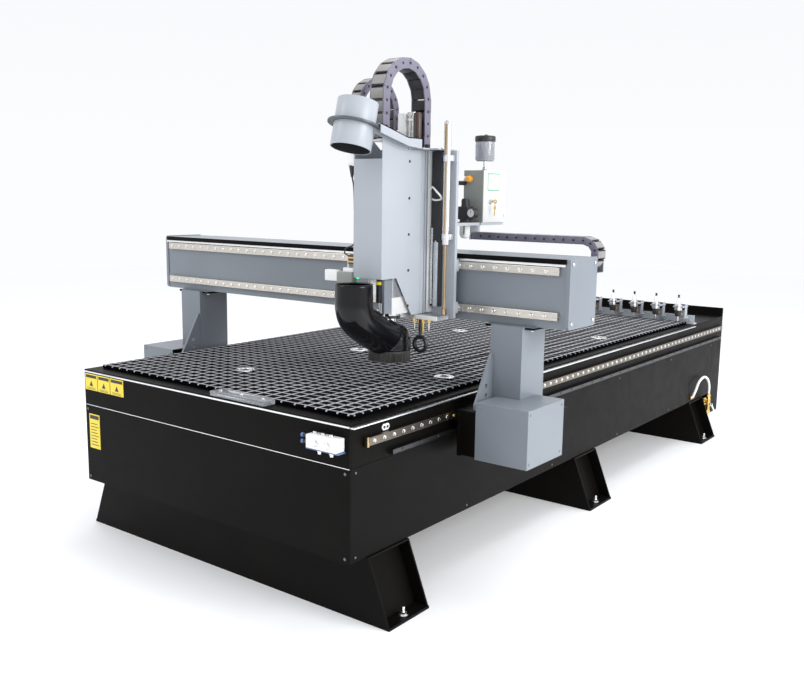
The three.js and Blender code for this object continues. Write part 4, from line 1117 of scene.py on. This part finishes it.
def dust_hood():
    """The moulded hood: an upright inlet that sweeps back and down into a round skirt."""
    lo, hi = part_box("dust_hood")
    x = (lo.x + hi.x) / 2
    inlet, spindle = at(0, 352, 0).y, at(0, 590, 0).y
    outer = Build()
    line = smooth_line([(x, inlet, 1.278), (x, inlet, 1.225), (x, inlet + 0.002, 1.180),
        (x, inlet + 0.026, 1.136), (x, inlet + 0.098, 1.090), (x, inlet + 0.165, 1.056),
        (x, spindle - 0.030, 1.038)], 7)
    share = [i / (len(line) - 1) for i in range(len(line))]
    outer.sweep(line, [0.077 + 0.004 * s for s in share], 48)
    outer.turned((x, spindle, 0), [(0, 1.092), (0.050, 1.090), (0.068, 1.082), (0.080, 1.066),
        (0.0875, 1.040), (0.091, 1.010), (0.092, 0.992), (0.092, 0.985), (0, 0.985)], Z, 56)
    solid = make("dust_hood_fine", outer, ["gloss"])
    remesh = solid.modifiers.new("merge", "REMESH")
    remesh.mode = "VOXEL"
    remesh.voxel_size = 0.003
    smooth = solid.modifiers.new("soften", "SMOOTH")
    smooth.iterations = 10
    smooth.factor = 0.5
    cutter = Build()
    cutter.rod((x, inlet, 1.20), (x, inlet, 1.30), 0.0725, sides=48)
    cutter.rod((x, spindle, 0.96), (x, spindle, 1.05), 0.084, sides=48)
    cutter.rod((x, spindle, 1.03), (x, spindle, 1.30), 0.046, sides=48)
    knife = make("hood_knife", cutter, ["gloss"])
    cut = solid.modifiers.new("open", "BOOLEAN")
    cut.operation = "DIFFERENCE"
    cut.object = knife
    bpy.context.view_layer.update()
    done = bpy.data.meshes.new_from_object(solid.evaluated_get(bpy.context.evaluated_depsgraph_get()))
    solid.modifiers.clear()
    solid.data = done
    bpy.data.objects.remove(knife)
    for polygon in done.polygons:
        polygon.use_smooth = True
    done.set_sharp_from_angle(angle=math.radians(50))
    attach(solid, "z_slide")
    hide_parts("dust_hood")
    rim = Build()
    rim.turned((x, inlet, 1.2785), [(0.0725, 0), (0.0775, 0), (0.0785, 0.0008), (0.0775, 0.0015),
        (0.0725, 0.0015), (0.0725, 0)], Z, 48)
    piece("hood_rim", rim, ["plastic"], "z_slide", "gloss_black_plastic")


def dust_brush():
    """A dense ring of bristles under the hood, in uneven tufts."""
    lo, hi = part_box("dust_brush")
    x, y = (lo.x + hi.x) / 2, (lo.y + hi.y) / 2
    build = Build()
    build.paint(1).turned((x, y, 0), [(0.068, hi.z), (0.090, hi.z), (0.090, hi.z - 0.008),
        (0.068, hi.z - 0.008), (0.068, hi.z)], Z, 48)
    build.paint(0)
    for ring, radius in enumerate((0.0885, 0.083, 0.077, 0.071)):
        count = 210 - 24 * ring
        for i in range(count):
            a = 2 * math.pi * (i + random.random() * 0.6) / count
            lean = random.uniform(-0.004, 0.002)
            foot = radius + lean
            top = Vector((x + radius * math.cos(a), y + radius * math.sin(a), hi.z - 0.006))
            sway = a + random.uniform(-0.012, 0.012)
            end = Vector((x + foot * math.cos(sway), y + foot * math.sin(sway),
                lo.z + random.uniform(0.0005, 0.006)))
            build.rod(top, end, 0.0013, 0.0009, sides=4)
    piece("brush_bristles", build, ["bristle", "plastic"], "z_slide", "bristle", "dust_brush")


def spindle_details():
    """The round spindle nose, the housing's bright lower part, and the nozzles beside it."""
    lo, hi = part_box("spindle_nose")
    x, y = (lo.x + hi.x) / 2, (lo.y + hi.y) / 2
    nose = Build()
    nose.paint(0).turned((x, y, 0), [(0, 1.1197), (0.028, 1.1197), (0.028, 1.088), (0.025, 1.084),
        (0.025, 1.070), (0.0225, 1.068), (0.0225, 1.062), (0.025, 1.060), (0.025, 1.054), (0, 1.054)])
    nose.paint(1).turned((x, y, 0), [(0, 1.0545), (0.021, 1.0545), (0.021, 1.020), (0.017, 1.012),
        (0, 1.012)])
    nose.paint(2).turned((x, y, 0), [(0, 1.0125), (0.006, 1.0125), (0.006, 0.966), (0.004, 0.962),
        (0, 0.962)], Z, 16)
    piece("spindle_nose_fine", nose, ["bright", "plastic", "bolt"], "spindle", "tool_steel", "spindle_nose")

    body = Build()
    body.paint(0).turned((x, y, 0), [(0.0432, 1.126), (0.0432, 1.182), (0.052, 1.192), (0.052, 1.2145)], Z,
        40)
    body.paint(1).turned((x, y, 0), [(0.0435, 1.1205), (0.0455, 1.122), (0.0455, 1.130), (0.0435, 1.132)],
        Z, 40)
    for px in (-1, 1):
        body.paint(2).box((x + px * 0.0605 - 0.004, y - 0.0675, 1.215),
            (x + px * 0.0605 + 0.004, y - 0.0625, 1.60), 0.0015)
    body.paint(2).box((x + 0.052, y - 0.066, 1.142), (x + 0.060, y + 0.066, 1.216), 0.001)
    piece("spindle_housing_trim", body, ["bright", "plastic", "box_light"], "z_slide", "anodised_aluminium")

    nozzles = Build()
    rows = ((592, 700, 1060, 0), (614, 706, 1052, 1), (636, 702, 1046, 1), (660, 712, 1058, 0))
    for px, py, pz, kind in rows:
        nozzles.paint(1).hexagon(at(px, py, 1114), at(px, py, 1096), 0.0085)
        nozzles.paint(kind).rod(at(px, py, 1097), at(px, py, pz + 14), 0.0045).rod(
            at(px, py, pz + 14), at(px, py, pz), 0.0045, 0.002)
    nozzles.paint(2).turned(at(632, 690, 1003), [(0.027, -0.009), (0.036, -0.009), (0.040, 0), (0.036, 0.009),
                                                (0.027, 0.009), (0.027, -0.009)], Y, 32)
    nozzles.hose([at(632, 690, 1040), at(630, 692, 1060), at(626, 694, 1095), at(626, 696, 1114)], 0.006)
    plate_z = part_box("z_slide_plate")[0].z
    nozzles.paint(3).box(at(619, 668, plate_z * 1000 - 1), at(732, 671.5, plate_z * 1000 + 17), 0.001)
    piece("nozzles", nozzles, ["bolt", "brass", "plastic", "white"], "z_slide", "tool_steel")


# ---------------------------------------------------------------- scene
def studio():
    """The floor, the sky and three soft lamps."""
    floor = Build()
    floor.box((-14, -14, -0.02), (14, 16, 0), 0)
    ground = make("studio_floor", floor, ["floor"])
    world = bpy.data.worlds.new("studio")
    bpy.context.scene.world = world
    world.use_nodes = True
    nodes, links = world.node_tree.nodes, world.node_tree.links
    sky = nodes["Background"]
    coords = nodes.new("ShaderNodeTexCoord")
    split = nodes.new("ShaderNodeSeparateXYZ")
    ramp = nodes.new("ShaderNodeValToRGB")
    links.new(coords.outputs["Generated"], split.inputs["Vector"])
    links.new(split.outputs["Z"], ramp.inputs["Fac"])
    ramp.color_ramp.elements[0].position = 0.0
    ramp.color_ramp.elements[0].color = (0.98, 0.985, 1.0, 1)
    ramp.color_ramp.elements[1].position = 1.0
    ramp.color_ramp.elements[1].color = (0.80, 0.83, 0.88, 1)
    links.new(ramp.outputs["Color"], sky.inputs["Color"])
    sky.inputs["Strength"].default_value = 1.0
    for name, place, target, size, power in (
        ("key", (-3.2, -5.5, 4.6), (0, -0.8, 0.8), 3.0, 85),
        ("side", (6.0, -0.8, 3.0), (0.4, -0.5, 0.9), 3.0, 235),
        ("top", (0.5, 0.5, 5.5), (0.2, -0.4, 0.8), 4.0, 150),
    ):
        light = bpy.data.lights.new(name, "AREA")
        light.energy = power
        light.size = size
        lamp = bpy.data.objects.new(name, light)
        lamp.location = place
        lamp.rotation_mode = "QUATERNION"
        lamp.rotation_quaternion = (Vector(target) - Vector(place)).to_track_quat("-Z", "Y")
        bpy.context.scene.collection.objects.link(lamp)
    bpy.context.scene.view_settings.view_transform = "Standard"


def camera():
    """The main view."""
    yaw, pitch, roll = math.radians(37.1703), math.radians(-9.1778), math.radians(0.8013)
    ahead = Vector((-math.sin(yaw) * math.cos(pitch), math.cos(yaw) * math.cos(pitch), math.sin(pitch)))
    level = Vector((math.cos(yaw), math.sin(yaw), 0))
    up = level.cross(ahead)
    right = level * math.cos(roll) + up * math.sin(roll)
    top = up * math.cos(roll) - level * math.sin(roll)
    data = bpy.data.cameras.new("camera")
    data.sensor_width = 36
    data.lens = 40.497
    place = Vector((2.9017, -4.5079, 1.6341))
    data.clip_end = 100
    view = bpy.data.objects.new("camera", data)
    view.matrix_world = Matrix((
        (right.x, top.x, -ahead.x, place.x), (right.y, top.y, -ahead.y, place.y),
        (right.z, top.z, -ahead.z, place.z), (0, 0, 0, 1)))
    bpy.context.scene.collection.objects.link(view)
    bpy.context.scene.camera = view


M["floor"] = finish_of("pale_floor", (0.93, 0.93, 0.935), 0.7, grain=40, texture=0.02, mottle=0.005,
                       Emission_Strength=0.14, Emission_Color=(1, 1, 1, 1))
camera()
dress_nodes()
table()
table_trim()
front_fittings()
base_screws()
side_drives()
rear_details()
tool_rack_details()
tool_holders()
air_inlet()
gantry_details()
x_chain()
z_chains()
vacuum_arm()
column_details()
counterbalance()
control_box()
lubricator()
regulator()
cover_details()
left_sensors()
dust_hood()
dust_brush()
spindle_details()
studio()
